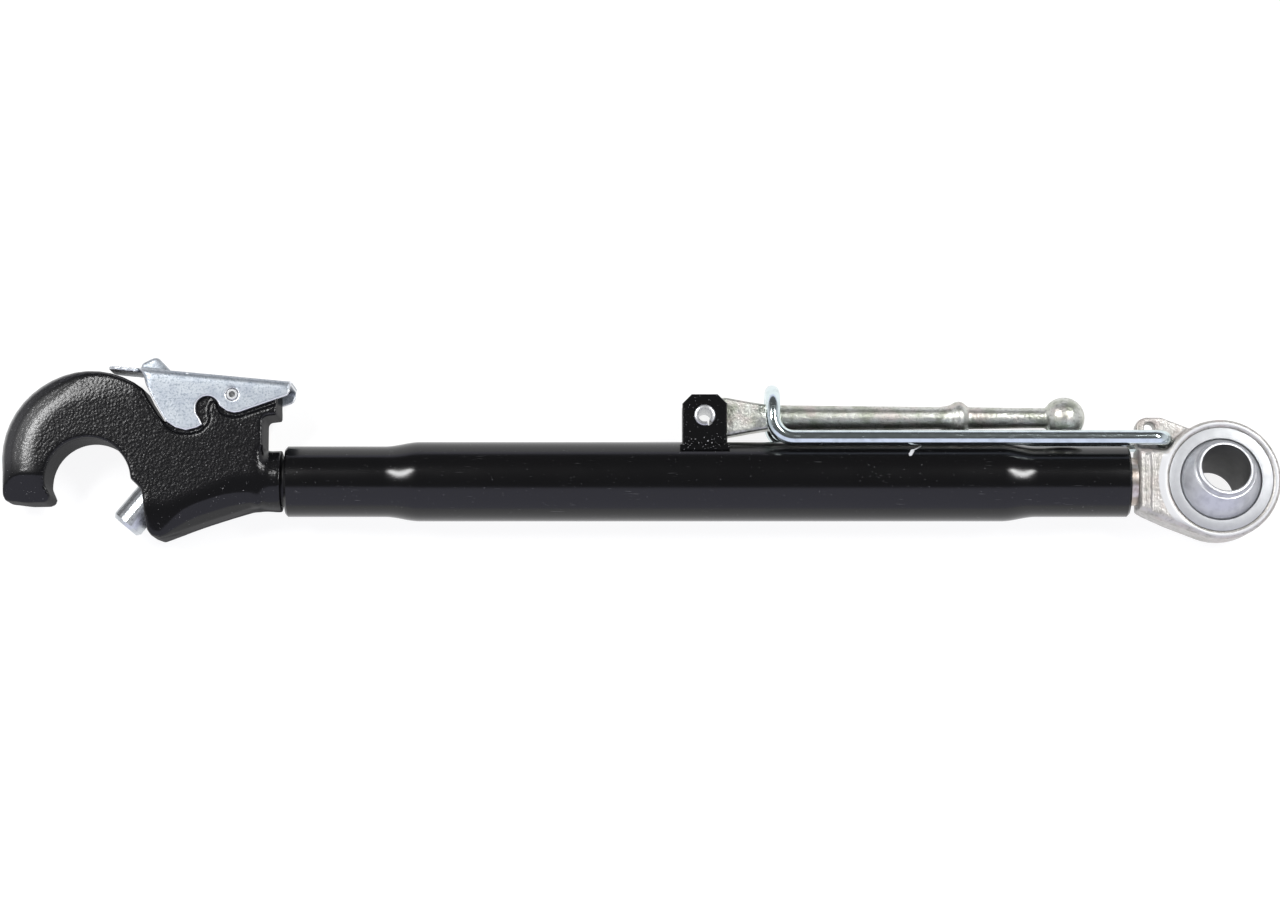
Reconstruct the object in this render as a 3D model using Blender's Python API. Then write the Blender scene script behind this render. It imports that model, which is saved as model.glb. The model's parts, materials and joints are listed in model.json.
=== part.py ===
"""Tractor top link with a quick-release hook at one end and a swivel ball at the other.

The link lies on its side: +X runs from the hook to the swivel ball, +Y is the side of the
turning handle, and +Z is the direction of the implement pins, away from the ground.
The world origin is under the middle of the link, on the ground.
"""
import math

import bpy
from mathutils import Vector

MM = 0.001
DEGREE = math.pi / 180.0

# Fits shared by the pieces
RUNNING_GAP = 0.3 * MM
CUT_OVERRUN = 30.0 * MM

# Swaged barrel
TUBE_LENGTH = 555.3 * MM
TUBE_RADIUS = 26.2 * MM
TUBE_WALL = 6.0 * MM
SWAGE_RADIUS = 23.3 * MM
HOOK_SWAGE_LENGTH = 65.3 * MM
EYE_SWAGE_LENGTH = 61.0 * MM
SWAGE_TAPER = 23.0 * MM
TUBE_END_CHAMFER = 1.5 * MM

# Threaded spindles, drawn at their thread's outer diameter
THREAD_RADIUS = 18.0 * MM
THREAD_CHAMFER = 2.5 * MM
THREAD_SHARE = 0.36
UNDERCUT_RADIUS = 16.0 * MM
UNDERCUT_LENGTH = 9.0 * MM
HOOK_END_GAP = 2.3 * MM
EYE_END_GAP = 5.0 * MM

# Bracket on the barrel, and the turning handle that it carries
HANDLE_END_CLEAR = 28.15 * MM
BRACKET_LENGTH = 29.5 * MM
BRACKET_PLATE = 8.0 * MM
BRACKET_HEIGHT = 30.0 * MM
BRACKET_CLIP = 6.2 * MM
BRACKET_EDGE = 0.8 * MM
WELD_RADIUS = 3.0 * MM
PIVOT_HEIGHT = 16.0 * MM
HANDLE_PIN_RADIUS = 7.0 * MM
HANDLE_PIN_BORE = 4.3 * MM
HANDLE_PIN_PROUD = 1.2 * MM
HANDLE_PIN_SLOT = 3.0 * MM
LUG_THICKNESS = 16.0 * MM
LUG_RADIUS = 13.0 * MM
LUG_EDGE = 2.0 * MM
HANDLE_LENGTH = 237.4 * MM
SHAFT_ROOT_RADIUS = 8.7 * MM
SHAFT_TIP_RADIUS = 6.7 * MM
COLLAR_RADIUS = 11.2 * MM
COLLAR_LENGTH = 12.6 * MM
COLLAR_PLACE_SHARE = 0.708
KNOB_RADIUS = 13.9 * MM

# Quick-release hook
HOOK_RADIUS = 57.6 * MM
HOOK_THICKNESS = 42.0 * MM
THROAT_RADIUS_SHARE = 0.48959
THROAT_DROP = 1.5 * MM
NECK_RADIUS = 20.3 * MM
NECK_WAIST = 0.5 * MM
CAST_EDGE = 1.8 * MM
DOME_INSET = 15.0 * MM
DOME_DEPTH = 7.0 * MM
SPINE_INSET = 14.0 * MM
SPINE_DEPTH = 17.0 * MM
NOSE_BEVEL_DEPTH = 6.0 * MM
CHEEK_RECESS = 2.5 * MM

# Locking bolt, its spring and the seat that the spring pushes against
BOLT_RADIUS = 11.0 * MM
BOLT_ANGLE = 50.0 * DEGREE
BOLT_LENGTH = 50.0 * MM
BOLT_BEVEL = 2.4 * MM
STEM_RADIUS = 6.0 * MM
STEM_END = 5.0 * MM
BOLT_TRAVEL = 20.0 * MM
SPRING_WIRE_RADIUS = 1.25 * MM
SPRING_TURNS = 5
SEAT_THICKNESS = 4.0 * MM
CIRCLIP_THICKNESS = 1.5 * MM
CIRCLIP_WIDTH = 2.2 * MM
CIRCLIP_GROOVE = 1.0 * MM
SEAT_CLEAR = 17.0 * MM

# Release lever and the spring pin that joins it to the bolt
LEVER_SHEET = 3.0 * MM
LEVER_GAP = 0.5 * MM
LEVER_BEND = 4.5 * MM
LEVER_EDGE = 0.5 * MM
TONGUE_LENGTH = 20.0 * MM
TONGUE_HALF_WIDTH = 15.0 * MM
EAR_THICKNESS = 5.0 * MM
EAR_EDGE = 1.2 * MM
LEVER_PIN_RADIUS = 3.8 * MM
LEVER_PIN_BORE = 2.1 * MM
LEVER_PIN_PROUD = 0.4 * MM

# Eye forging and its split race
EYE_RADIUS = 39.5 * MM
EYE_THICKNESS = 32.0 * MM
EYE_EDGE = 2.2 * MM
EYE_NECK_EDGE = 4.5 * MM
EYE_LEAD_IN = 1.0 * MM
EYE_REACH_SHARE = 1.3671
EAR_LUG_THICKNESS = 14.0 * MM
SPARE_HOLE_RADIUS = 3.75 * MM
RACE_WIDTH = 6.8 * MM
BALL_RADIUS_SHARE = 0.75949
BALL_WIDTH_SHARE = 1.7
BALL_COLLAR_SHARE = 0.62
BALL_BORE_SHARE = 0.53667
BALL_CHAMFER = 0.6 * MM
BALL_TILT = 16.0 * DEGREE
BALL_TILT_HEADING = 73.0 * DEGREE

# Wire bail that holds the handle down
BAIL_WIRE_RADIUS = 5.0 * MM
BAIL_BEND = 13.8 * MM
BAIL_LOOP_REACH = 44.5 * MM
BAIL_CLEAR = 2.12 * MM
BAIL_RISE = 12.6 * MM
BAIL_END_BEND = 7.5 * MM

# Places and outlines, in shares of the sizes that they follow
EYE_LUG_SHARES = (
    (-1.372, 0.906), (-1.372, 1.360), (-1.32, 1.491), (-1.22, 1.554), (-0.96, 1.554), (-0.48, 1.287),
)
EYE_NECK_SHARES = ((-0.90, 0.50), (-1.367, 0.53), (-1.367, -0.50), (-1.25, -0.57), (-0.889, -0.734))
BAIL_PIVOT_SHARE = -0.924
SPARE_HOLE_SHARES = (-1.149, 1.288)
NOSE_SHARES = ((-0.981, -0.05), (-0.978, -0.15), (-0.946, -0.217), (-0.69, -0.247), (-0.491, -0.241))
LIP_SHARES = ((-0.894, -0.429), (-0.876, -0.330))
FRONT_SHARES = (
    (0.5625, -0.043), (0.609, -0.095), (0.627, -0.165), (0.639, -0.281), (0.651, -0.398), (0.681, -0.554),
    (0.726, -0.616), (0.828, -0.6545),
)
SPINE_SHARES = ((1.05, -0.590), (1.39, -0.474), (1.736, -0.363), (1.87, -0.318))
BLOCK_SHARES = (
    (1.991, -0.318), (1.991, 0.70), (2.01, 0.738), (2.148, 0.755), (2.148, 1.03), (2.12, 1.082), (1.11, 1.185),
    (1.07, 1.15),
)
VALLEY_SHARES = (
    (1.04, 1.0), (1.0, 0.80), (0.94, 0.70), (0.86, 0.68), (0.79, 0.76), (0.735, 0.85), (0.668, 0.955),
)
BEND_CENTRE_SHARES = (0.0, 0.2726)
NECK_END_SHARE = 2.189
NOSE_BEVEL_SHARES = (-1.1, -0.26, 0.08, -0.27)
RECESS_SHARES = (
    (0.70, 0.93), (0.79, 0.76), (0.872, 0.623), (0.96, 0.56), (1.066, 0.531), (1.18, 0.532), (1.285, 0.566),
    (1.375, 0.658), (1.387, 0.738), (1.366, 0.78), (1.375, 0.85), (1.405, 0.905), (1.445, 0.895), (1.462, 0.83),
    (1.50, 0.77), (1.56, 0.738), (1.65, 0.724), (1.72, 0.730), (1.80, 0.755), (2.20, 0.890), (2.20, 1.4), (0.70, 1.4),
)
LEVER_PIN_SHARES = (1.637, 0.986)
BOLT_REACH_SHARE = 1.925
LEVER_FRONT_SHARES = (
    (-1.087, 0.323), (-0.932, 0.010), (-0.762, -0.295), (-0.648, -0.375), (-0.523, -0.410), (-0.400, -0.380),
    (-0.335, -0.342), (-0.372, -0.270), (-0.408, -0.217),
)
LEVER_NOTCH_SHARES = (-0.281, -0.151, 0.135)
LEVER_BACK_SHARES = (
    (-0.115, -0.149), (-0.057, -0.189), (0.022, -0.210), (0.090, -0.200), (0.623, -0.012), (0.655, 0.035),
    (0.675, 0.158),
)
EAR_SHARES = ((-1.087, 0.29), (-1.087, 0.403), (-0.935, 0.484), (-0.893, 0.484), (-0.70, 0.277))


def material(name, colour, roughness, metallic):
    """A plain Principled material for one piece."""
    made = bpy.data.materials.new(name)
    made.use_nodes = True
    made.diffuse_color = (*colour, 1.0)
    shader = made.node_tree.nodes["Principled BSDF"]
    shader.inputs["Base Color"].default_value = (*colour, 1.0)
    shader.inputs["Roughness"].default_value = roughness
    shader.inputs["Metallic"].default_value = metallic
    return made


def frame_at(name, place, parent=None):
    """An empty that carries the pieces of one moving body, with its origin on the joint."""
    empty = bpy.data.objects.new(name, None)
    bpy.context.scene.collection.objects.link(empty)
    empty.parent = parent
    empty.location = place
    return empty


def piece(name, corners, faces, parent, look=None, smooth_angle=35.0 * DEGREE):
    """A mesh object from corners and faces, shaded smooth where its faces meet gently."""
    mesh = bpy.data.meshes.new(name)
    mesh.from_pydata([tuple(c) for c in corners], [], faces)
    mesh.validate()
    mesh.polygons.foreach_set("use_smooth", [True] * len(mesh.polygons))
    mesh.set_sharp_from_angle(angle=smooth_angle)
    made = bpy.data.objects.new(name, mesh)
    bpy.context.scene.collection.objects.link(made)
    made.parent = parent
    if look is not None:
        mesh.materials.append(look)
    return made


def combine(target, operand, operation):
    """Join or cut the target with a hidden operand by an exact Boolean."""
    step = target.modifiers.new(operation.lower() + " " + operand.name, "BOOLEAN")
    step.operation = operation
    step.solver = "EXACT"
    step.object = operand
    operand.hide_render = True
    operand.display_type = "WIRE"


def arc(centre, radius, start, end, steps):
    """Points along an arc in the plane, with both ends."""
    angles = [start + (end - start) * i / steps for i in range(steps + 1)]
    return [(centre[0] + radius * math.cos(a), centre[1] + radius * math.sin(a)) for a in angles]


def counterclockwise(outline):
    """The same outline, turned round if it runs clockwise."""
    pairs = zip([outline[-1]] + list(outline), outline)
    area = sum(before[0] * point[1] - point[0] * before[1] for before, point in pairs)
    return list(outline) if area > 0.0 else list(reversed(outline))


def scaled(shares, size):
    """Outline points from shares of one size."""
    return [(a * size, b * size) for a, b in shares]


def revolve(name, profile, parent, look=None, steps=48, ring=False):
    """Turn a profile of (distance along Z, radius) about Z; a ring's profile closes on itself."""
    corners = []
    rows = []
    for along, radius in reversed(counterclockwise(profile)):
        if radius <= 0.0:
            rows.append([len(corners)] * steps)
            corners.append((0.0, 0.0, along))
            continue
        rows.append(list(range(len(corners), len(corners) + steps)))
        for i in range(steps):
            turn = math.tau * i / steps
            corners.append((radius * math.cos(turn), radius * math.sin(turn), along))
    pairs = list(zip(rows, rows[1:]))
    if ring:
        pairs.append((rows[-1], rows[0]))
    faces = []
    for low, high in pairs:
        for i in range(steps):
            j = (i + 1) % steps
            face = [low[i], low[j], high[j], high[i]]
            distinct = [v for k, v in enumerate(face) if v not in face[:k]]
            if len(distinct) > 2:
                faces.append(distinct)
    made = piece(name, corners, faces, parent, look)
    return made


def prism(name, outline, low, high, parent, look=None):
    """A flat outline in X and Y, pulled from one height to another."""
    outline = counterclockwise(outline)
    count = len(outline)
    corners = [(x, y, low) for x, y in outline] + [(x, y, high) for x, y in outline]
    sides = [(i, (i + 1) % count, (i + 1) % count + count, i + count) for i in range(count)]
    faces = [tuple(reversed(range(count))), tuple(range(count, 2 * count))] + sides
    return piece(name, corners, faces, parent, look)


def edge_normals(outline):
    """Inward directions at the corners of a counterclockwise outline, scaled to offset both sides."""
    count = len(outline)
    inward = []
    for i in range(count):
        before = Vector(outline[i]) - Vector(outline[i - 1])
        after = Vector(outline[(i + 1) % count]) - Vector(outline[i])
        side = Vector((-before.y, before.x)).normalized() + Vector((-after.y, after.x)).normalized()
        half = side.normalized()
        lean = max(0.5, half.dot(Vector((-after.y, after.x)).normalized()))
        inward.append(half / lean)
    return inward


def rounded_plate(name, outline, edges, half, parent, look=None, steps=4):
    """A plate whose edge is rounded by its own (inset, depth) at each corner of the outline."""
    count = len(outline)
    inward = edge_normals(outline)
    angles = [math.pi / 2 * k / steps for k in range(steps + 1)]
    layers = [(a, -1.0) for a in reversed(angles)] + [(a, 1.0) for a in angles]
    corners = []
    for angle, side in layers:
        for point, normal, (inset, depth) in zip(outline, inward, edges):
            spot = Vector(point) + normal * inset * (1.0 - math.cos(angle))
            corners.append((spot.x, spot.y, side * (half - depth * (1.0 - math.sin(angle)))))
    faces = [tuple(reversed(range(count)))]
    for layer in range(len(layers) - 1):
        base = layer * count
        for i in range(count):
            j = (i + 1) % count
            faces.append((base + i, base + j, base + j + count, base + i + count))
    last = (len(layers) - 1) * count
    faces.append(tuple(range(last, last + count)))
    plate = piece(name, corners, faces, parent, look)
    plate.data.polygons[0].use_smooth = False
    plate.data.polygons[-1].use_smooth = False
    return plate


def eased(values, passes):
    """Even out a closed row of edge sizes, so that one stretch flows into the next."""
    for _ in range(passes):
        count = len(values)
        values = [
            tuple((values[i - 1][k] + 2.0 * values[i][k] + values[(i + 1) % count][k]) / 4.0 for k in (0, 1))
            for i in range(count)
        ]
    return values


def divided(outline, edges, longest):
    """Split the outline's long sides, so that the rounding can change along them."""
    points, sizes = [], []
    count = len(outline)
    for i in range(count):
        start, end = Vector(outline[i]), Vector(outline[(i + 1) % count])
        parts = max(1, math.ceil((end - start).length / longest))
        for k in range(parts):
            points.append(tuple(start.lerp(end, k / parts)))
            sizes.append(edges[i])
    return points, sizes


def wire(name, path, radius, parent, look, sides=12):
    """A round wire along a path, closed by a flat face at each end."""
    points = [Vector(p) for p in path]
    forward = (points[1] - points[0]).normalized()
    side = forward.orthogonal().normalized()
    corners = []
    for i, point in enumerate(points):
        ahead = points[min(i + 1, len(points) - 1)] - points[max(i - 1, 0)]
        turned = forward.rotation_difference(ahead.normalized())
        side = (turned @ side).normalized()
        forward = ahead.normalized()
        other = forward.cross(side)
        for k in range(sides):
            around = math.tau * k / sides
            corners.append(point + (side * math.cos(around) + other * math.sin(around)) * radius)
    faces = [tuple(reversed(range(sides)))]
    for i in range(len(points) - 1):
        for k in range(sides):
            a, b = i * sides + k, i * sides + (k + 1) % sides
            faces.append((a, b, b + sides, a + sides))
    faces.append(tuple(range((len(points) - 1) * sides, len(points) * sides)))
    return piece(name, corners, faces, parent, look)


def along_x(obj, x, y=0.0):
    """Lay a piece that was turned about Z along +X, at a place on the link."""
    obj.rotation_euler = (0.0, math.pi / 2, 0.0)
    obj.location = (x, y, 0.0)
    return obj


def make_barrel_tube(link, look):
    """The swaged tube: plain in the middle, drawn down at both ends to hold the threads."""
    half = TUBE_LENGTH / 2
    bore = THREAD_RADIUS + RUNNING_GAP
    hook_step = -half + HOOK_SWAGE_LENGTH
    eye_step = half - EYE_SWAGE_LENGTH
    ease = SWAGE_TAPER / 6
    drop = TUBE_RADIUS - SWAGE_RADIUS
    outside = [
        (-half, SWAGE_RADIUS - TUBE_END_CHAMFER),
        (-half + TUBE_END_CHAMFER, SWAGE_RADIUS),
        (hook_step, SWAGE_RADIUS),
        (hook_step + ease, SWAGE_RADIUS + drop / 12),
        (hook_step + SWAGE_TAPER - ease, TUBE_RADIUS - drop / 12),
        (hook_step + SWAGE_TAPER, TUBE_RADIUS),
        (eye_step - SWAGE_TAPER, TUBE_RADIUS),
        (eye_step - SWAGE_TAPER + ease, TUBE_RADIUS - drop / 12),
        (eye_step - ease, SWAGE_RADIUS + drop / 12),
        (eye_step, SWAGE_RADIUS),
        (half - TUBE_END_CHAMFER, SWAGE_RADIUS),
        (half, SWAGE_RADIUS - TUBE_END_CHAMFER),
    ]
    inside = [
        (half, bore),
        (eye_step, bore),
        (eye_step - SWAGE_TAPER, TUBE_RADIUS - TUBE_WALL),
        (hook_step + SWAGE_TAPER, TUBE_RADIUS - TUBE_WALL),
        (hook_step, bore),
        (-half, bore),
    ]
    return along_x(revolve("barrel_tube", outside + inside, link, look, steps=40, ring=True), 0.0)


def spindle(name, gap, parent, look):
    """A threaded spindle from the shoulder of its end fitting into the barrel, along +Z."""
    length = TUBE_LENGTH * THREAD_SHARE
    thread_start = max(UNDERCUT_LENGTH, gap)
    profile = [
        (0.0, 0.0),
        (0.0, UNDERCUT_RADIUS),
        (thread_start, UNDERCUT_RADIUS),
        (thread_start + THREAD_CHAMFER, THREAD_RADIUS),
        (length - THREAD_CHAMFER, THREAD_RADIUS),
        (length, THREAD_RADIUS - THREAD_CHAMFER),
        (length, 0.0),
    ]
    return revolve(name, profile, parent, look, steps=32)


def bracket_place():
    """The bracket's place along the barrel, which keeps the knob clear of the eye's end."""
    return TUBE_LENGTH / 2 - HANDLE_END_CLEAR - KNOB_RADIUS - HANDLE_LENGTH


def pivot_centre():
    """Where the handle's pin crosses the link, over the middle of the barrel."""
    return Vector((bracket_place(), TUBE_RADIUS + PIVOT_HEIGHT, 0.0))


def make_bracket(side, name, link, look):
    """One cheek of the bracket, cut to the barrel and with the weld along its foot."""
    half = BRACKET_LENGTH / 2
    top = TUBE_RADIUS + BRACKET_HEIGHT
    inner = LUG_THICKNESS / 2 + RUNNING_GAP
    outline = [
        (-half, 0.0),
        (half, 0.0),
        (half, top - BRACKET_CLIP),
        (half - BRACKET_CLIP, top),
        (-half + BRACKET_CLIP, top),
        (-half, top - BRACKET_CLIP),
    ]
    edges = [(BRACKET_EDGE, BRACKET_EDGE)] * len(outline)
    cheek = rounded_plate(name, outline, edges, BRACKET_PLATE / 2, link, look, steps=2)
    middle = side * (inner + BRACKET_PLATE / 2)
    cheek.location = (bracket_place(), 0.0, middle)
    outer = inner + BRACKET_PLATE
    foot = math.sqrt(TUBE_RADIUS**2 - outer**2)
    weld_end = half + WELD_RADIUS / 2
    weld_z = side * outer - middle
    weld_path = [(-weld_end, foot, weld_z), (weld_end, foot, weld_z)]
    bead = wire(name + "_weld", weld_path, WELD_RADIUS, cheek, None, sides=10)
    combine(cheek, bead, "UNION")
    barrel = revolve(name + "_seat", cylinder_profile(TUBE_RADIUS + RUNNING_GAP, TUBE_LENGTH), cheek, steps=48)
    barrel.rotation_euler = (0.0, math.pi / 2, 0.0)
    barrel.location = (-TUBE_LENGTH / 2, 0.0, -middle)
    combine(cheek, barrel, "DIFFERENCE")
    bore_profile = cylinder_profile(HANDLE_PIN_RADIUS + RUNNING_GAP, 2 * CUT_OVERRUN)
    bore = revolve(name + "_bore", bore_profile, cheek, steps=32)
    bore.location = (0.0, TUBE_RADIUS + PIVOT_HEIGHT, -CUT_OVERRUN)
    combine(cheek, bore, "DIFFERENCE")
    return cheek


def cylinder_profile(radius, length):
    """The profile of a plain rod that stands on Z."""
    return [(0.0, 0.0), (0.0, radius), (length, radius), (length, 0.0)]


def tube_profile(radius, bore, length, chamfer):
    """The profile of a plain sleeve that stands on Z, with chamfered outer rims."""
    return [
        (0.0, radius - chamfer),
        (chamfer, radius),
        (length - chamfer, radius),
        (length, radius - chamfer),
        (length, bore),
        (0.0, bore),
    ]


def make_handle_pin(link, look):
    """The slotted spring pin on which the handle turns."""
    length = LUG_THICKNESS + 2 * (BRACKET_PLATE + RUNNING_GAP + HANDLE_PIN_PROUD)
    profile = tube_profile(HANDLE_PIN_RADIUS, HANDLE_PIN_BORE, length, HANDLE_PIN_PROUD / 2)
    pin = revolve("handle_pin", profile, link, look, steps=32, ring=True)
    pin.location = pivot_centre() - Vector((0.0, 0.0, length / 2))
    slot_outline = [
        (0.0, -HANDLE_PIN_SLOT / 2),
        (HANDLE_PIN_RADIUS * 2, -HANDLE_PIN_SLOT / 2),
        (HANDLE_PIN_RADIUS * 2, HANDLE_PIN_SLOT / 2),
        (0.0, HANDLE_PIN_SLOT / 2),
    ]
    slot = prism("handle_pin_slot", slot_outline, -CUT_OVERRUN, length + CUT_OVERRUN, pin)
    slot.rotation_euler = (0.0, 0.0, -58.0 * DEGREE)
    combine(pin, slot, "DIFFERENCE")
    return pin


def make_handle(pivot, look):
    """The forged turning handle: a flat lug, a tapered shaft, a collar and a ball knob."""
    collar = HANDLE_LENGTH * COLLAR_PLACE_SHARE
    reach = LUG_RADIUS * 1.1
    root = LUG_RADIUS * 3.15
    fall = SHAFT_ROOT_RADIUS - SHAFT_TIP_RADIUS

    def shaft_radius(along):
        """The shaft's radius, which falls evenly towards the knob."""
        return SHAFT_ROOT_RADIUS - fall * (along - root) / (HANDLE_LENGTH - root)

    start = collar - COLLAR_LENGTH / 2
    end = collar + COLLAR_LENGTH / 2
    swell = COLLAR_RADIUS - SHAFT_TIP_RADIUS
    neck = math.acos(shaft_radius(HANDLE_LENGTH) / KNOB_RADIUS)
    knob = [
        (HANDLE_LENGTH - KNOB_RADIUS * math.cos(a), KNOB_RADIUS * math.sin(a))
        for a in [(math.pi / 2 - neck) + (math.pi / 2 + neck) * i / 9 for i in range(10)]
    ]
    knob[-1] = (HANDLE_LENGTH + KNOB_RADIUS, 0.0)
    profile = [
        (root * 0.62, 0.0),
        (root * 0.62, SHAFT_ROOT_RADIUS * 0.88),
        (root, SHAFT_ROOT_RADIUS),
        (start - COLLAR_LENGTH / 2, shaft_radius(start)),
        (start, shaft_radius(start) + swell * 0.25),
        (collar - COLLAR_LENGTH * 0.18, COLLAR_RADIUS - swell * 0.08),
        (collar, COLLAR_RADIUS),
        (collar + COLLAR_LENGTH * 0.18, COLLAR_RADIUS - swell * 0.12),
        (end, shaft_radius(end)),
        (knob[0][0] - KNOB_RADIUS * 0.25, shaft_radius(HANDLE_LENGTH)),
    ]
    lug_outline = arc((0.0, 0.0), LUG_RADIUS, 90 * DEGREE, 270 * DEGREE, 14)
    lug_outline += [
        (reach, -LUG_RADIUS),
        (root * 0.72, -SHAFT_ROOT_RADIUS * 1.17),
        (root, -SHAFT_ROOT_RADIUS * 0.96),
        (root * 1.15, -SHAFT_ROOT_RADIUS * 0.7),
        (root * 1.15, SHAFT_ROOT_RADIUS * 0.7),
        (root, SHAFT_ROOT_RADIUS * 0.96),
        (root * 0.72, SHAFT_ROOT_RADIUS * 1.17),
        (reach, LUG_RADIUS),
    ]
    edges = [(LUG_EDGE, LUG_EDGE)] * len(lug_outline)
    lug = rounded_plate("turning_handle", lug_outline, edges, LUG_THICKNESS / 2, pivot, look, steps=3)
    shaft = revolve("turning_handle_shaft", profile + knob, lug, look, steps=28)
    shaft.rotation_euler = (0.0, math.pi / 2, 0.0)
    combine(lug, shaft, "UNION")
    bore_profile = cylinder_profile(HANDLE_PIN_RADIUS + RUNNING_GAP, 2 * CUT_OVERRUN)
    bore = revolve("turning_handle_bore", bore_profile, lug, steps=32)
    bore.location = (0.0, 0.0, -CUT_OVERRUN)
    combine(lug, bore, "DIFFERENCE")
    return lug


def hook_outline():
    """The hook's outline from its nose round the throat, neck, block and bend, with its rounding."""
    cast = (CAST_EDGE, CAST_EDGE)
    corner = (CAST_EDGE * 2, CAST_EDGE * 2)
    dome = (DOME_INSET, DOME_DEPTH)
    spine = (SPINE_INSET, SPINE_DEPTH)
    throat = HOOK_RADIUS * THROAT_RADIUS_SHARE
    stretches = [
        (scaled(NOSE_SHARES, HOOK_RADIUS), corner),
        (scaled(LIP_SHARES, throat), cast),
        (arc((0.0, 0.0), throat, 184 * DEGREE, 3 * DEGREE, 22), cast),
        (scaled(FRONT_SHARES, HOOK_RADIUS), cast),
        (scaled(SPINE_SHARES, HOOK_RADIUS), spine),
        (scaled(BLOCK_SHARES, HOOK_RADIUS), cast),
        (scaled(VALLEY_SHARES, HOOK_RADIUS), cast),
        (arc(scaled([BEND_CENTRE_SHARES], HOOK_RADIUS)[0], HOOK_RADIUS, 52 * DEGREE, 100 * DEGREE, 6), corner),
        (arc(scaled([BEND_CENTRE_SHARES], HOOK_RADIUS)[0], HOOK_RADIUS, 108 * DEGREE, 188 * DEGREE, 10), dome),
    ]
    points, edges = [], []
    for stretch, edge in stretches:
        points += stretch
        edges += [edge] * len(stretch)
    points, edges = divided(points, edges, HOOK_RADIUS / 6)
    return points, eased(edges, 3)


def make_hook_body(hook, look):
    """The cast hook with its throat, the bolt's bore, and the recess and finger for the lever."""
    points, edges = hook_outline()
    half = HOOK_THICKNESS / 2
    body = rounded_plate("hook_body", points, edges, half, hook, look, steps=3)

    neck_end = NECK_END_SHARE * HOOK_RADIUS
    neck_profile = [
        (0.0, 0.0),
        (0.0, NECK_RADIUS - NECK_WAIST),
        (neck_end * 0.15, NECK_RADIUS - NECK_WAIST),
        (neck_end * 0.21, NECK_RADIUS),
        (neck_end * 0.25, NECK_RADIUS),
        (neck_end * 0.25, 0.0),
    ]
    neck = revolve("hook_neck", neck_profile, body, look, steps=40)
    along_x(neck, neck_end * 0.75, THROAT_DROP)
    combine(body, neck, "UNION")

    start, end, top, bottom = (share * HOOK_RADIUS for share in NOSE_BEVEL_SHARES)
    slope = NOSE_BEVEL_DEPTH / (top - bottom)
    low = bottom - CUT_OVERRUN
    bevel = [(top, half), (low, half - slope * (top - low)), (low, half + CUT_OVERRUN), (top, half + CUT_OVERRUN)]
    for name, side in (("hook_nose_front", 1.0), ("hook_nose_rear", -1.0)):
        wedge = prism(name, [(y, side * z) for y, z in bevel], start, end, body)
        wedge.rotation_euler = (math.pi / 2, 0.0, math.pi / 2)
        combine(body, wedge, "DIFFERENCE")

    recess = scaled(RECESS_SHARES, HOOK_RADIUS)
    for name, side in (("hook_recess_front", 1.0), ("hook_recess_rear", -1.0)):
        floor = half - CHEEK_RECESS
        low, high = sorted((side * floor, side * (half + CUT_OVERRUN)))
        combine(body, prism(name, recess, low, high, body), "DIFFERENCE")

    pin = Vector(scaled([LEVER_PIN_SHARES], HOOK_RADIUS)[0]).to_3d()
    along = Vector((math.cos(BOLT_ANGLE), math.sin(BOLT_ANGLE), 0.0))
    bore_start = pin - along * (BOLT_REACH_SHARE * HOOK_RADIUS + CUT_OVERRUN)
    bore_length = BOLT_REACH_SHARE * HOOK_RADIUS + 2 * CUT_OVERRUN
    bore = revolve("hook_bolt_bore", cylinder_profile(BOLT_RADIUS + RUNNING_GAP, bore_length), body, steps=32)
    bore.location = bore_start
    bore.rotation_euler = along.to_track_quat("Z", "Y").to_euler()
    combine(body, bore, "DIFFERENCE")
    groove_profile = cylinder_profile(BOLT_RADIUS + RUNNING_GAP + CIRCLIP_GROOVE, CIRCLIP_THICKNESS + 2 * RUNNING_GAP)
    groove = revolve("hook_circlip_groove", groove_profile, body, steps=32)
    groove.location = pin + along * (seat_place() + SEAT_THICKNESS)
    groove.rotation_euler = bore.rotation_euler
    combine(body, groove, "DIFFERENCE")

    slot_half = LEVER_PIN_RADIUS + 2 * RUNNING_GAP
    slot_outline = arc((0.0, 0.0), slot_half, 90 * DEGREE, 270 * DEGREE, 8)
    slot_outline += [(BOLT_TRAVEL + CUT_OVERRUN, -slot_half), (BOLT_TRAVEL + CUT_OVERRUN, slot_half)]
    slot = prism("hook_pin_slot", slot_outline, -HOOK_THICKNESS, HOOK_THICKNESS, body)
    slot.location = pin
    slot.rotation_euler = (0.0, 0.0, BOLT_ANGLE)
    combine(body, slot, "DIFFERENCE")
    return body


def seat_place():
    """Where the spring's seat starts on the bolt's axis, measured from the lever's pin."""
    return -(SEAT_CLEAR + SEAT_THICKNESS + BOLT_TRAVEL * 0.17)


def bolt_shoulder():
    """Where the thick part of the bolt ends, measured from the lever's pin."""
    return -(BOLT_REACH_SHARE * HOOK_RADIUS - BOLT_LENGTH)


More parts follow.
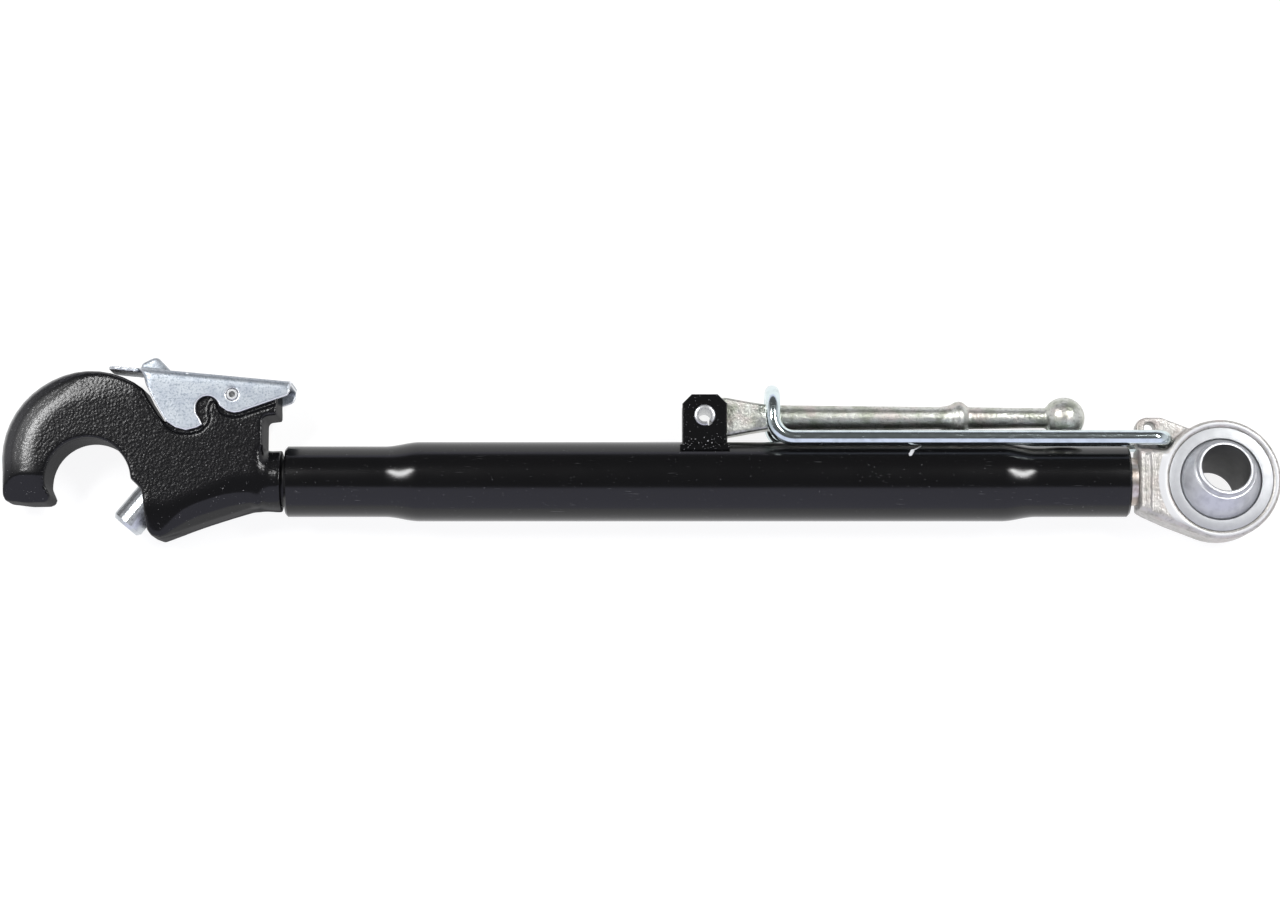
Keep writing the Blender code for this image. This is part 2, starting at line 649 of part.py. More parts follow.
def make_locking_bolt(pivot, look):
    """The locking bolt: a thick bevelled nose, and a thin stem that reaches the lever's pin."""
    nose = -BOLT_REACH_SHARE * HOOK_RADIUS
    profile = [
        (nose, 0.0),
        (nose, BOLT_RADIUS - BOLT_BEVEL * 0.75),
        (nose + BOLT_BEVEL, BOLT_RADIUS),
        (bolt_shoulder() - SPRING_WIRE_RADIUS, BOLT_RADIUS),
        (bolt_shoulder(), BOLT_RADIUS - SPRING_WIRE_RADIUS),
        (bolt_shoulder(), STEM_RADIUS),
        (STEM_END, STEM_RADIUS),
        (STEM_END, 0.0),
    ]
    bolt = revolve("locking_bolt", profile, pivot, look, steps=32)
    bore_profile = cylinder_profile(LEVER_PIN_RADIUS + RUNNING_GAP, 2 * CUT_OVERRUN)
    bore = revolve("locking_bolt_bore", bore_profile, bolt, steps=24)
    bore.location = (0.0, CUT_OVERRUN, 0.0)
    bore.rotation_euler = (math.pi / 2, 0.0, 0.0)
    combine(bolt, bore, "DIFFERENCE")
    return bolt


def make_bolt_spring(axis, look):
    """The spring between the bolt's shoulder and its seat, wound close to the bore."""
    start = bolt_shoulder() + RUNNING_GAP + SPRING_WIRE_RADIUS
    end = seat_place() - RUNNING_GAP - SPRING_WIRE_RADIUS
    coil = BOLT_RADIUS - 2 * RUNNING_GAP - SPRING_WIRE_RADIUS
    per_turn = 14
    count = SPRING_TURNS * per_turn
    path = []
    for i in range(count + 1):
        turn = math.tau * i / per_turn
        share = min(1.0, max(0.0, (i - per_turn / 2) / (count - per_turn)))
        path.append((coil * math.cos(turn), coil * math.sin(turn), start + (end - start) * share))
    first_rise = SPRING_WIRE_RADIUS * 2.1
    for i in range(per_turn // 2, per_turn + 1):
        x, y, z = path[i]
        path[i] = (x, y, max(z, start + first_rise * (i - per_turn / 2) / (per_turn / 2)))
        x, y, z = path[count - i]
        path[count - i] = (x, y, min(z, end - first_rise * (i - per_turn / 2) / (per_turn / 2)))
    return wire("bolt_spring", path, SPRING_WIRE_RADIUS, axis, look, sides=6)


def make_spring_seat(axis, look):
    """The ring that the spring pushes against, held in the bore by the circlip."""
    profile = tube_profile(BOLT_RADIUS, STEM_RADIUS + RUNNING_GAP, SEAT_THICKNESS - RUNNING_GAP, RUNNING_GAP)
    seat = revolve("spring_seat_ring", profile, axis, look, steps=32, ring=True)
    seat.location = (0.0, 0.0, seat_place())
    return seat


def make_circlip(axis, look):
    """The open retaining ring that sits in the bore's groove."""
    radius = BOLT_RADIUS + CIRCLIP_GROOVE
    profile = tube_profile(radius, radius - CIRCLIP_WIDTH, CIRCLIP_THICKNESS, 0.0)
    clip = revolve("bore_circlip", [profile[0], profile[3], profile[4], profile[5]], axis, look, steps=32, ring=True)
    clip.location = (0.0, 0.0, seat_place() + SEAT_THICKNESS + RUNNING_GAP)
    gap_outline = [(0.0, -STEM_END), (radius * 2, -STEM_END), (radius * 2, STEM_END), (0.0, STEM_END)]
    gap = prism("bore_circlip_gap", gap_outline, -CUT_OVERRUN, CUT_OVERRUN, clip)
    combine(clip, gap, "DIFFERENCE")
    return clip


def make_lever_pin(pivot, look):
    """The spring pin through the lever's cheeks and the bolt's stem."""
    half = HOOK_THICKNESS / 2 - CHEEK_RECESS + LEVER_GAP + LEVER_SHEET + LEVER_PIN_PROUD
    profile = tube_profile(LEVER_PIN_RADIUS, LEVER_PIN_BORE, 2 * half, LEVER_PIN_PROUD)
    pin = revolve("lever_pin", profile, pivot, look, steps=24, ring=True)
    pin.location = (0.0, half, 0.0)
    pin.rotation_euler = (math.pi / 2, 0.0, 0.0)
    return pin


def make_release_lever(pivot, look):
    """The pressed lever: two cheeks that straddle the hook, joined by a web with a tongue and an ear."""
    inner = HOOK_THICKNESS / 2 - CHEEK_RECESS + LEVER_GAP
    outer = inner + LEVER_SHEET
    notch_x, notch_y, notch_radius = (share * HOOK_RADIUS for share in LEVER_NOTCH_SHARES)
    notch = arc((notch_x, notch_y), notch_radius, 184 * DEGREE, 12 * DEGREE, 12)
    front = scaled(LEVER_FRONT_SHARES, HOOK_RADIUS)
    back = scaled(LEVER_BACK_SHARES, HOOK_RADIUS)
    outline = front + notch + back
    edge = (LEVER_EDGE, LEVER_EDGE)
    bend = (LEVER_BEND, LEVER_BEND)
    edges = [bend] + [edge] * (len(outline) - 2) + [bend]
    lever = rounded_plate("release_lever", outline, edges, outer, pivot, look, steps=4)

    web_start, web_end = Vector(front[0]), Vector(back[-1])
    run = (web_end - web_start).normalized()
    down = Vector((run.y, -run.x))
    past = run * CUT_OVERRUN
    deep = down * (2 * HOOK_RADIUS)
    under_start, under_end = web_start + down * LEVER_SHEET, web_end + down * LEVER_SHEET
    hollow = [under_start - past, under_start - past + deep, under_end + past + deep, under_end + past]
    combine(lever, prism("release_lever_hollow", [tuple(p) for p in hollow], -inner, inner, lever), "DIFFERENCE")

    tip = TONGUE_HALF_WIDTH * 0.35
    plan = [
        (CUT_OVERRUN / 4, -TONGUE_HALF_WIDTH),
        (CUT_OVERRUN / 4, TONGUE_HALF_WIDTH),
        (-TONGUE_LENGTH + tip, TONGUE_HALF_WIDTH),
        (-TONGUE_LENGTH + tip * 0.3, TONGUE_HALF_WIDTH - tip * 0.3),
        (-TONGUE_LENGTH, TONGUE_HALF_WIDTH - tip),
        (-TONGUE_LENGTH, -TONGUE_HALF_WIDTH + tip),
        (-TONGUE_LENGTH + tip * 0.3, -TONGUE_HALF_WIDTH + tip * 0.3),
        (-TONGUE_LENGTH + tip, -TONGUE_HALF_WIDTH),
    ]
    sheet = LEVER_SHEET - RUNNING_GAP
    edges = [(LEVER_EDGE, LEVER_EDGE)] * len(plan)
    tongue = rounded_plate("release_lever_tongue", list(reversed(plan)), edges, sheet / 2, lever, look, steps=2)
    middle = web_start + down * (LEVER_SHEET / 2)
    tongue.location = middle.to_3d()
    tongue.rotation_euler = (math.pi / 2, 0.0, math.atan2(run.y, run.x))
    combine(lever, tongue, "UNION")

    ear_outline = list(reversed(scaled(EAR_SHARES, HOOK_RADIUS)))
    edges = [(EAR_EDGE, EAR_EDGE)] * len(ear_outline)
    ear = rounded_plate("release_lever_ear", ear_outline, edges, EAR_THICKNESS / 2, lever, look, steps=2)
    combine(lever, ear, "UNION")

    bore_profile = cylinder_profile(LEVER_PIN_RADIUS + RUNNING_GAP, 2 * CUT_OVERRUN)
    bore = revolve("release_lever_bore", bore_profile, lever, steps=24)
    bore.location = (0.0, 0.0, -CUT_OVERRUN)
    combine(lever, bore, "DIFFERENCE")
    return lever


def ball_radius():
    """The swivel ball's radius, which leaves the eye its wall round the race."""
    return EYE_RADIUS * BALL_RADIUS_SHARE


def ball_sizes():
    """Half the ball's width, and the radii of its collars and its bore, in step with the ball."""
    shares = (BALL_WIDTH_SHARE / 2, BALL_COLLAR_SHARE, BALL_BORE_SHARE)
    return tuple(share * ball_radius() for share in shares)


def bail_leg():
    """How far each leg of the bail stands from the middle of the link, beside the knob."""
    return KNOB_RADIUS + BAIL_WIRE_RADIUS + 2 * RUNNING_GAP


def bail_place():
    """The bail's pivot from the eye's centre, high enough for its legs to clear the barrel."""
    reach = TUBE_RADIUS + BAIL_WIRE_RADIUS + BAIL_CLEAR
    return EYE_RADIUS * BAIL_PIVOT_SHARE, math.sqrt(reach**2 - bail_leg() ** 2)


def lug_point(share):
    """A point on the bail's lug: along the link by the eye's radius, up by the pivot's height."""
    return share[0] * EYE_RADIUS, share[1] * bail_place()[1]


def race_outer_radius():
    """The outside of the race, beyond the circle where the ball leaves it."""
    return race_mouth_radius() + RACE_WIDTH


def race_half_width():
    """Half the width of the race, a little less than the eye's own face."""
    return EYE_THICKNESS / 2 - 2 * EYE_LEAD_IN


def race_mouth_radius():
    """The circle where the ball leaves the face of the race."""
    return math.sqrt((ball_radius() + RUNNING_GAP) ** 2 - race_half_width() ** 2)


def make_eye_forging(eye, look):
    """The eye: a ring for the race, a neck that meets the spindle, and a lug for the bail."""
    ring = arc((0.0, 0.0), EYE_RADIUS, -112 * DEGREE, 146 * DEGREE, 34)
    neck = scaled(EYE_NECK_SHARES, EYE_RADIUS)
    edges = [(EYE_EDGE, EYE_EDGE)] * len(ring) + [(EYE_NECK_EDGE, EYE_NECK_EDGE)] * len(neck)
    outline, edges = divided(ring + neck, edges, EYE_RADIUS / 3)
    forging = rounded_plate("eye_forging", outline, eased(edges, 2), EYE_THICKNESS / 2, eye, look, steps=3)

    lug_outline = [lug_point(share) for share in EYE_LUG_SHARES]
    lug_outline += [(lug_outline[-1][0], lug_outline[0][1] * 0.6), (lug_outline[0][0] * 0.9, lug_outline[0][1] * 0.6)]
    lug_outline = list(reversed(lug_outline))
    edges = [(EYE_EDGE / 2, EYE_EDGE / 2)] * len(lug_outline)
    lug = rounded_plate("eye_lug", lug_outline, edges, EAR_LUG_THICKNESS / 2, forging, look, steps=2)
    combine(forging, lug, "UNION")

    half = EYE_THICKNESS / 2
    bore_radius = race_outer_radius() + RUNNING_GAP
    bore_profile = [
        (-half - CUT_OVERRUN, 0.0),
        (-half - CUT_OVERRUN, bore_radius + EYE_LEAD_IN * 2),
        (-half, bore_radius + EYE_LEAD_IN * 2),
        (-half + EYE_LEAD_IN, bore_radius),
        (half - EYE_LEAD_IN, bore_radius),
        (half, bore_radius + EYE_LEAD_IN * 2),
        (half + CUT_OVERRUN, bore_radius + EYE_LEAD_IN * 2),
        (half + CUT_OVERRUN, 0.0),
    ]
    combine(forging, revolve("eye_bore", bore_profile, forging, steps=48), "DIFFERENCE")

    pivot = bail_place()
    spare = lug_point(SPARE_HOLE_SHARES)
    for name, place, radius in (
        ("eye_bail_hole", pivot, BAIL_WIRE_RADIUS + RUNNING_GAP),
        ("eye_spare_hole", spare, SPARE_HOLE_RADIUS),
    ):
        hole = revolve(name, cylinder_profile(radius, 2 * CUT_OVERRUN), forging, steps=24)
        hole.location = (place[0], place[1], -CUT_OVERRUN)
        combine(forging, hole, "DIFFERENCE")
    return forging


def make_race(name, side, eye, look):
    """One half of the split race, ground to the ball inside and pressed into the eye."""
    half = race_half_width()
    inner = ball_radius() + RUNNING_GAP
    split = RUNNING_GAP / 2
    heights = [split + (half - split) * i / 4 for i in range(5)]
    profile = [(z, math.sqrt(inner**2 - z**2)) for z in heights]
    profile += [(half, race_outer_radius()), (split, race_outer_radius())]
    race = revolve(name, profile, eye, look, steps=36, ring=True)
    if side < 0:
        race.rotation_euler = (math.pi, 0.0, 0.0)
    return race


def make_swivel_ball(ball, look):
    """The swivel ball with its collars and its bore for the implement pin."""
    half, collar, bore = ball_sizes()
    radius = ball_radius()
    shoulder = math.asin(collar / radius)
    sweep = math.pi - 2 * shoulder
    sphere = [
        (-radius * math.cos(shoulder + sweep * i / 12), radius * math.sin(shoulder + sweep * i / 12))
        for i in range(13)
    ]
    profile = [(-half, collar - BALL_CHAMFER), (-half + BALL_CHAMFER, collar)]
    profile += sphere
    profile += [(half - BALL_CHAMFER, collar), (half, collar - BALL_CHAMFER)]
    profile += [
        (half, bore + BALL_CHAMFER),
        (half - BALL_CHAMFER, bore),
        (-half + BALL_CHAMFER, bore),
        (-half, bore + BALL_CHAMFER),
    ]
    made = revolve("swivel_ball", profile, ball, look, steps=36, ring=True)
    lean = Vector((math.cos(BALL_TILT_HEADING), math.sin(BALL_TILT_HEADING), 0.0)) * math.sin(BALL_TILT)
    direction = lean + Vector((0.0, 0.0, math.cos(BALL_TILT)))
    made.rotation_euler = direction.to_track_quat("Z", "Y").to_euler()
    return made


def make_locking_bail(pivot, reach, look):
    """The bent wire: two ends in the eye's lug, two legs beside the barrel, a loop over the handle."""
    leg = bail_leg()
    tip = EAR_LUG_THICKNESS / 8
    path = [(0.0, 0.0, tip), (0.0, 0.0, leg - BAIL_END_BEND)]
    for a in range(1, 6):
        turn = math.pi / 2 * a / 5
        path.append((-BAIL_END_BEND * (1 - math.cos(turn)), 0.0, leg - BAIL_END_BEND * (1 - math.sin(turn))))
    for a in range(6):
        turn = math.pi / 2 * a / 5
        path.append((-reach + BAIL_BEND * (1 - math.sin(turn)), BAIL_BEND * (1 - math.cos(turn)), leg))
    for a in range(9):
        turn = math.pi / 2 * a / 8
        path.append((-reach, BAIL_RISE + leg * math.sin(turn), leg * math.cos(turn)))
    mirrored = [(x, y, -z) for x, y, z in reversed(path[:-1])]
    return wire("locking_bail", path + mirrored, BAIL_WIRE_RADIUS, pivot, look, sides=12)


def main():
    """Build the whole link."""
    for old in list(bpy.data.objects):
        bpy.data.objects.remove(old, do_unlink=True)

    black_paint = material("black_gloss_paint", (0.012, 0.012, 0.013), 0.18, 0.0)
    black_casting = material("black_cast_iron", (0.035, 0.035, 0.04), 0.5, 0.0)
    zinc = material("bright_zinc", (0.62, 0.66, 0.70), 0.32, 1.0)
    warm_zinc = material("forged_zinc", (0.60, 0.58, 0.54), 0.42, 1.0)
    chrome = material("polished_wire", (0.80, 0.82, 0.84), 0.12, 1.0)
    steel = material("ground_steel", (0.56, 0.57, 0.60), 0.25, 1.0)
    spring_steel = material("spring_steel", (0.22, 0.22, 0.24), 0.35, 1.0)

    tube_half = TUBE_LENGTH / 2
    hook_reach = NECK_END_SHARE * HOOK_RADIUS
    throat_x = -(tube_half + HOOK_END_GAP + hook_reach)
    eye_reach = EYE_REACH_SHARE * EYE_RADIUS
    ball_x = tube_half + EYE_END_GAP + eye_reach
    left = throat_x + (BEND_CENTRE_SHARES[0] - 1.0) * HOOK_RADIUS
    right = ball_x + EYE_RADIUS
    ear_top = (LEVER_PIN_SHARES[1] + EAR_SHARES[2][1]) * HOOK_RADIUS - THROAT_DROP
    ball_half, collar_radius, _ = ball_sizes()
    rim = ball_half * math.cos(BALL_TILT) + collar_radius * math.sin(BALL_TILT)

    link = frame_at("link_frame", (-(left + right) / 2, -(ear_top - EYE_RADIUS) / 2, rim))
    make_barrel_tube(link, black_paint)
    make_bracket(1.0, "bracket_cheek_front", link, black_paint)
    make_bracket(-1.0, "bracket_cheek_rear", link, black_paint)
    make_handle_pin(link, spring_steel)
    handle_pivot = frame_at("handle_pivot", pivot_centre(), link)
    make_handle(handle_pivot, warm_zinc)

    hook = frame_at("hook_frame", (throat_x, -THROAT_DROP, 0.0), link)
    make_hook_body(hook, black_casting)
    hook_spindle = spindle("hook_spindle", HOOK_END_GAP, hook, steel)
    along_x(hook_spindle, hook_reach, THROAT_DROP)
    pin_place = Vector(scaled([LEVER_PIN_SHARES], HOOK_RADIUS)[0]).to_3d()
    bolt_axis = frame_at("bolt_axis", pin_place, hook)
    bolt_axis.rotation_euler = (math.pi / 2, 0.0, BOLT_ANGLE + math.pi / 2)
    make_spring_seat(bolt_axis, steel)
    make_circlip(bolt_axis, spring_steel)
    make_bolt_spring(bolt_axis, spring_steel)
    make_locking_bolt(bolt_axis, zinc)
    make_lever_pin(bolt_axis, spring_steel)
    lever_pivot = frame_at("lever_pivot", pin_place, hook)
    make_release_lever(lever_pivot, zinc)

    eye = frame_at("eye_frame", (ball_x, 0.0, 0.0), link)
    make_eye_forging(eye, warm_zinc)
    eye_spindle = spindle("eye_spindle", EYE_END_GAP, eye, steel)
    eye_spindle.rotation_euler = (0.0, -math.pi / 2, 0.0)
    eye_spindle.location = (-eye_reach, 0.0, 0.0)
    make_race("race_ring_front", 1.0, eye, steel)
    make_race("race_ring_rear", -1.0, eye, steel)
    ball = frame_at("ball_centre", (0.0, 0.0, 0.0), eye)
    make_swivel_ball(ball, steel)
    bail_x, bail_y = bail_place()
    bail_pivot = frame_at("bail_pivot", (bail_x, bail_y, 0.0), eye)
    make_locking_bail(bail_pivot, ball_x + bail_x - bracket_place() - BAIL_LOOP_REACH, chrome)


main()
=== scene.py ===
"""Looks of a tractor top link, laid on a white table and seen from above."""
import json

import bmesh
import bpy
import numpy as np
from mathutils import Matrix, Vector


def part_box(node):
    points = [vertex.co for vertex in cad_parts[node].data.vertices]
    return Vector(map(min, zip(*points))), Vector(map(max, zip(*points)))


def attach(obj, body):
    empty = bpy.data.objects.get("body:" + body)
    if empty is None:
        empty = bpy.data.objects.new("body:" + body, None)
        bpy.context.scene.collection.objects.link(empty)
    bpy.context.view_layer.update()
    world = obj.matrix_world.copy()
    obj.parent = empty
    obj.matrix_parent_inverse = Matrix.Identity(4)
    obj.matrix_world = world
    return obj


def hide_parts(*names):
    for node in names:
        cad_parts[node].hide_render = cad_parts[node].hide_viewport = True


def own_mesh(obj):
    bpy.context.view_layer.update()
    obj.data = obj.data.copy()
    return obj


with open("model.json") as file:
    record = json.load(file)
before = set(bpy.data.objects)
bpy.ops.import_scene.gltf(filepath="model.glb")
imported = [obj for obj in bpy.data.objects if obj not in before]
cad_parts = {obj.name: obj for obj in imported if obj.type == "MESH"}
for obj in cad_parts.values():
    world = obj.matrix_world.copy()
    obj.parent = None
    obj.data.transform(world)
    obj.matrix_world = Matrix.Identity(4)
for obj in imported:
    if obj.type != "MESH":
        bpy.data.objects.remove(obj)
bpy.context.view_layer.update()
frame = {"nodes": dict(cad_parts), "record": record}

# ---------------------------------------------------------------------------------------------
# Table, lights and camera. The link lies on a white table with a bright wall past its lower
# side and a dark ceiling, under two oblong strobe lamps, one left and one right of the camera.
# ---------------------------------------------------------------------------------------------
TABLE_HALF = 9.0
TABLE_WHITE = (0.80, 0.80, 0.80, 1.0)
TABLE_SHADE = (0.20, 0.20, 0.20, 1.0)
TABLE_GLOW = 0.88
ROOM_DARK = (0.10, 0.10, 0.10)
ROOM_BRIGHT = (0.90, 0.90, 1.10)
ROOM_ENDS = (0.7, 0.7, 0.74, 1.0)
# Shares of the half circle from level on the +y side (0) over straight up (0.5) to the -y side (1)
ROOM_STOPS = ((0.035, ROOM_BRIGHT), (0.055, ROOM_DARK), (0.622, ROOM_DARK), (0.640, ROOM_BRIGHT))
STROBE_WIDTH = 1.20
STROBE_DEPTH = 0.36
STROBE_STRENGTH = 30.0
CAMERA_LENS = 101.9
CAMERA_PLACE = (-0.0006, -0.2778, 2.4056)
CAMERA_LEAN = np.radians(6.65)


class Finish:
    """A value in a surface recipe. Arithmetic on it adds Math nodes to the same recipe."""

    def __init__(self, nodes, socket=None):
        self.nodes, self.socket = nodes, socket

    def node(self, kind, settings=None, sockets=None, out=0):
        """Adds a node of a type, sets its settings, then gives its sockets values or links."""
        made = self.nodes.new(kind)
        for name, value in (settings or {}).items():
            if name == "stops":
                while len(made.color_ramp.elements) < len(value):
                    made.color_ramp.elements.new(1.0)
                for element, (place, colour) in zip(made.color_ramp.elements, value):
                    element.position, element.color = place, (*colour, 1.0)
            else:
                setattr(made, name, value)
        for key, value in (sockets or {}).items():
            if isinstance(value, Finish):
                self.nodes.id_data.links.new(value.socket, made.inputs[key])
            else:
                made.inputs[key].default_value = value
        return Finish(self.nodes, made.outputs[out])

    def other(self, out):
        """Another output of the same node."""
        return Finish(self.nodes, self.socket.node.outputs[out])

    def into(self, shader, socket):
        """Links this value to a socket of a shader."""
        self.nodes.id_data.links.new(self.socket, shader.inputs[socket])

    def math(self, operation, *values):
        return self.node("ShaderNodeMath", {"operation": operation}, dict(enumerate(values)))

    def __add__(self, value):
        return self.math("ADD", self, value)

    def __sub__(self, value):
        return self.math("SUBTRACT", self, value)

    def __rsub__(self, value):
        return self.math("SUBTRACT", value, self)

    def __mul__(self, value):
        return self.math("MULTIPLY", self, value)

    def __truediv__(self, value):
        return self.math("DIVIDE", self, value)

    def __neg__(self):
        return self.math("MULTIPLY", self, -1.0)

    def __abs__(self):
        return self.math("ABSOLUTE", self)

    def step(self, low, high):
        """Rises smoothly from 0 at low to 1 at high."""
        return self.node(
            "ShaderNodeMapRange", {"interpolation_type": "SMOOTHSTEP"}, {0: self, 1: low, 2: high}
        )

    def root(self):
        return self.math("SQRT", self)

    __radd__ = __add__
    __rmul__ = __mul__


def white_table():
    """The table's finish: white to the eye, a little darker where the link shades it."""
    made = bpy.data.materials.new("white_table")
    made.use_nodes = True
    nodes = made.node_tree.nodes
    nodes.clear()
    recipe = Finish(nodes)
    path = recipe.node("ShaderNodeLightPath", out="Is Camera Ray")
    seen = path.math("MAXIMUM", path, path.other("Is Glossy Ray"))
    seen = path.math("MAXIMUM", seen, path.other("Is Transmission Ray"))
    plain = recipe.node("ShaderNodeBsdfDiffuse", {}, {"Color": TABLE_WHITE})
    shaded = recipe.node("ShaderNodeBsdfDiffuse", {}, {"Color": TABLE_SHADE})
    white = {"Color": (1.0, 1.0, 1.0, 1.0), "Strength": TABLE_GLOW}
    glow = recipe.node("ShaderNodeEmission", {}, white)
    lit = recipe.node("ShaderNodeAddShader", {}, {0: shaded, 1: glow})
    both = recipe.node("ShaderNodeMixShader", {}, {0: seen, 1: plain, 2: lit})
    recipe.node("ShaderNodeOutputMaterial", {}, {"Surface": both}, out=slice(0, 0))
    return made


def studio_light():
    """The room round the table: bright low down and past the lower side, dark straight above."""
    world = bpy.data.worlds.new("studio")
    bpy.context.scene.world = world
    world.use_nodes = True
    nodes = world.node_tree.nodes
    nodes.clear()
    recipe = Finish(nodes)
    way = recipe.node("ShaderNodeTexCoord", out="Generated")
    x = recipe.node("ShaderNodeSeparateXYZ", {}, {0: way}, out="X")
    lean = x.math("ARCTAN2", -x.other("Y"), x.other("Z")) / np.pi + 0.5
    room = recipe.node("ShaderNodeValToRGB", {"stops": ROOM_STOPS}, {0: lean})
    mixed = {0: abs(x).step(0.55, 0.95), 6: room, 7: ROOM_ENDS}
    ends = recipe.node("ShaderNodeMix", {"data_type": "RGBA"}, mixed, out=2)
    sky = recipe.node("ShaderNodeBackground", {}, {"Color": ends, "Strength": 1.0})
    recipe.node("ShaderNodeOutputWorld", {}, {"Surface": sky}, out=slice(0, 0))


def strobe(name, way, distance):
    """A flat lamp at a distance from the link in some direction, turned towards it."""
    lamp = bpy.data.lights.new(name, "AREA")
    lamp.shape = "RECTANGLE"
    lamp.size, lamp.size_y = STROBE_WIDTH, STROBE_DEPTH
    lamp.energy = STROBE_STRENGTH * np.pi * STROBE_WIDTH * STROBE_DEPTH
    made = bpy.data.objects.new(name, lamp)
    bpy.context.scene.collection.objects.link(made)
    place = np.array(way, float) / np.linalg.norm(way) * distance
    made.location = place
    made.rotation_euler = made.location.to_track_quat("Z", "Y").to_euler()


corners = [(x * TABLE_HALF, y * TABLE_HALF, 0.0) for x, y in ((-1, -1), (1, -1), (1, 1), (-1, 1))]
table_mesh = bpy.data.meshes.new("table")
table_mesh.from_pydata(corners, [], [(0, 1, 2, 3)])
table_mesh.materials.append(white_table())
table = bpy.data.objects.new("table", table_mesh)
bpy.context.scene.collection.objects.link(table)

studio_light()
strobe("left_strobe", (-0.54, 0.35, 1.0), 2.6)
strobe("right_strobe", (0.62, 0.35, 1.0), 2.7)

camera = bpy.data.cameras.new("camera")
camera.lens, camera.sensor_width = CAMERA_LENS, 36.0
camera.clip_start, camera.clip_end = 0.05, 50.0
viewer = bpy.data.objects.new("camera", camera)
viewer.location = CAMERA_PLACE
viewer.rotation_euler = (CAMERA_LEAN, 0.0, 0.0)
bpy.context.scene.collection.objects.link(viewer)
bpy.context.scene.camera = viewer
bpy.context.scene.view_settings.view_transform = "Standard"

# ---------------------------------------------------------------------------------------------
# Barrel tube. A seamless steel tube, drawn down at both ends over the female threads, with its
# ends faced and chamfered, then dipped in gloss black paint that keeps a faint orange peel.
# ---------------------------------------------------------------------------------------------
TUBE_RADIUS = 0.0262
SWAGE_RADIUS = 0.0233
TUBE_WALL = 0.006
TUBE_BORE = 0.0183
HOOK_SWAGE = 0.0653
EYE_SWAGE = 0.0610
SWAGE_TAPER = 0.023
TUBE_CHAMFER = 0.0015
BORE_MOUTH = TUBE_BORE + 0.0008
BORE_CHAMFER = 0.001
PAINT_CHIPS = (
    ((0.1762, -0.0062), (0.1782, -0.0032), 0.0013),
    ((0.1778, -0.0034), (0.1840, 0.0002), 0.00035),
)
PAINT_BLACK = (0.0036, 0.0036, 0.0040)
DUST_GREY = (0.42, 0.42, 0.43)
PRIMER_GREY = (0.62, 0.62, 0.64)
PEEL_DEPTH = 0.000012
TUBE_DUST = 0.785


def lay_grid(name, points, round_closed=True, along_closed=False, sharp=40.0):
    """A skin of four-sided faces over a grid of points, rows along a piece, columns round it."""
    rows, columns = points.shape[:2]
    index = np.arange(rows * columns).reshape(rows, columns)
    if round_closed:
        index = np.concatenate([index, index[:, :1]], axis=1)
    if along_closed:
        index = np.concatenate([index, index[:1]], axis=0)
    quads = np.stack([index[:-1, :-1], index[:-1, 1:], index[1:, 1:], index[1:, :-1]], axis=-1)
    faces = quads.reshape(-1, 4).tolist()
    if not round_closed:
        faces += [index[:, 0].tolist(), index[::-1, -1].tolist()]
    mesh = bpy.data.meshes.new(name)
    mesh.from_pydata(points.reshape(-1, 3).tolist(), [], faces)
    closer = bmesh.new()
    closer.from_mesh(mesh)
    bmesh.ops.remove_doubles(closer, verts=closer.verts, dist=1e-7)
    closer.to_mesh(mesh)
    closer.free()
    mesh.polygons.foreach_set("use_smooth", np.ones(len(mesh.polygons), bool))
    mesh.set_sharp_from_angle(angle=np.radians(sharp))
    return mesh


def turned(profile, start, axis, angles):
    """A profile turned round an axis: point = start + axis * along + radius * (cos, sin) across.

    The profile's rows are (along, radius). It runs forwards along the axis on the outside."""
    axis = np.array(axis, float) / np.linalg.norm(axis)
    side = np.cross(axis, (0.0, 0.0, 1.0) if abs(axis[2]) < 0.9 else (0.0, 1.0, 0.0))
    side /= np.linalg.norm(side)
    over = np.cross(axis, side)
    along, radius = profile[:, 0, None, None], profile[:, 1, None, None]
    turn = np.cos(angles)[:, None] * side + np.sin(angles)[:, None] * over
    return np.array(start, float) + along * axis + radius * turn[None]


def full_circle(steps):
    return np.arange(steps) / steps * 2 * np.pi


def start_finish(name, colour, roughness, metallic, extra=None):
    """A new finish: the shader's plain values, and the recipe that its varying values join."""
    made = bpy.data.materials.new(name)
    made.use_nodes = True
    made.diffuse_color = (*colour, 1.0)
    shader = made.node_tree.nodes["Principled BSDF"]
    values = {"Base Color": (*colour, 1.0), "Roughness": roughness, "Metallic": metallic}
    for socket, value in {**values, **(extra or {})}.items():
        shader.inputs[socket].default_value = value
    recipe = Finish(made.node_tree.nodes)
    return made, shader, recipe, recipe.node("ShaderNodeTexCoord", out="Object")


def cloud(place, scale, detail=2.0, rough=0.5):
    """Soft noise from 0 to 1; its blobs are about 1 / scale metres across."""
    sockets = {"Vector": place, "Scale": scale, "Detail": detail, "Roughness": rough}
    return place.node("ShaderNodeTexNoise", {}, sockets)


def stretched(place, scale, turn=(0.0, 0.0, 0.0)):
    """Coordinates turned and stretched, for marks that run one way."""
    return place.node("ShaderNodeMapping", {}, {"Vector": place, "Rotation": turn, "Scale": scale})


def tinted(share, first, second):
    """A colour that goes from the first to the second with a share from 0 to 1."""
    first, second = ((*c, 1.0) if isinstance(c, tuple) else c for c in (first, second))
    sockets = {0: share, 6: first, 7: second}
    return share.node("ShaderNodeMix", {"data_type": "RGBA"}, sockets, out=2)


def relief(height, depth, shader, onto=None):
    """Bumps the surface by a height from 0 to 1 that stands for a depth in metres."""
    sockets = {"Height": height, "Distance": depth, "Strength": 1.0}
    if onto is not None:
        sockets["Normal"] = onto
    bump = height.node("ShaderNodeBump", {}, sockets)
    bump.into(shader, "Normal")
    return bump


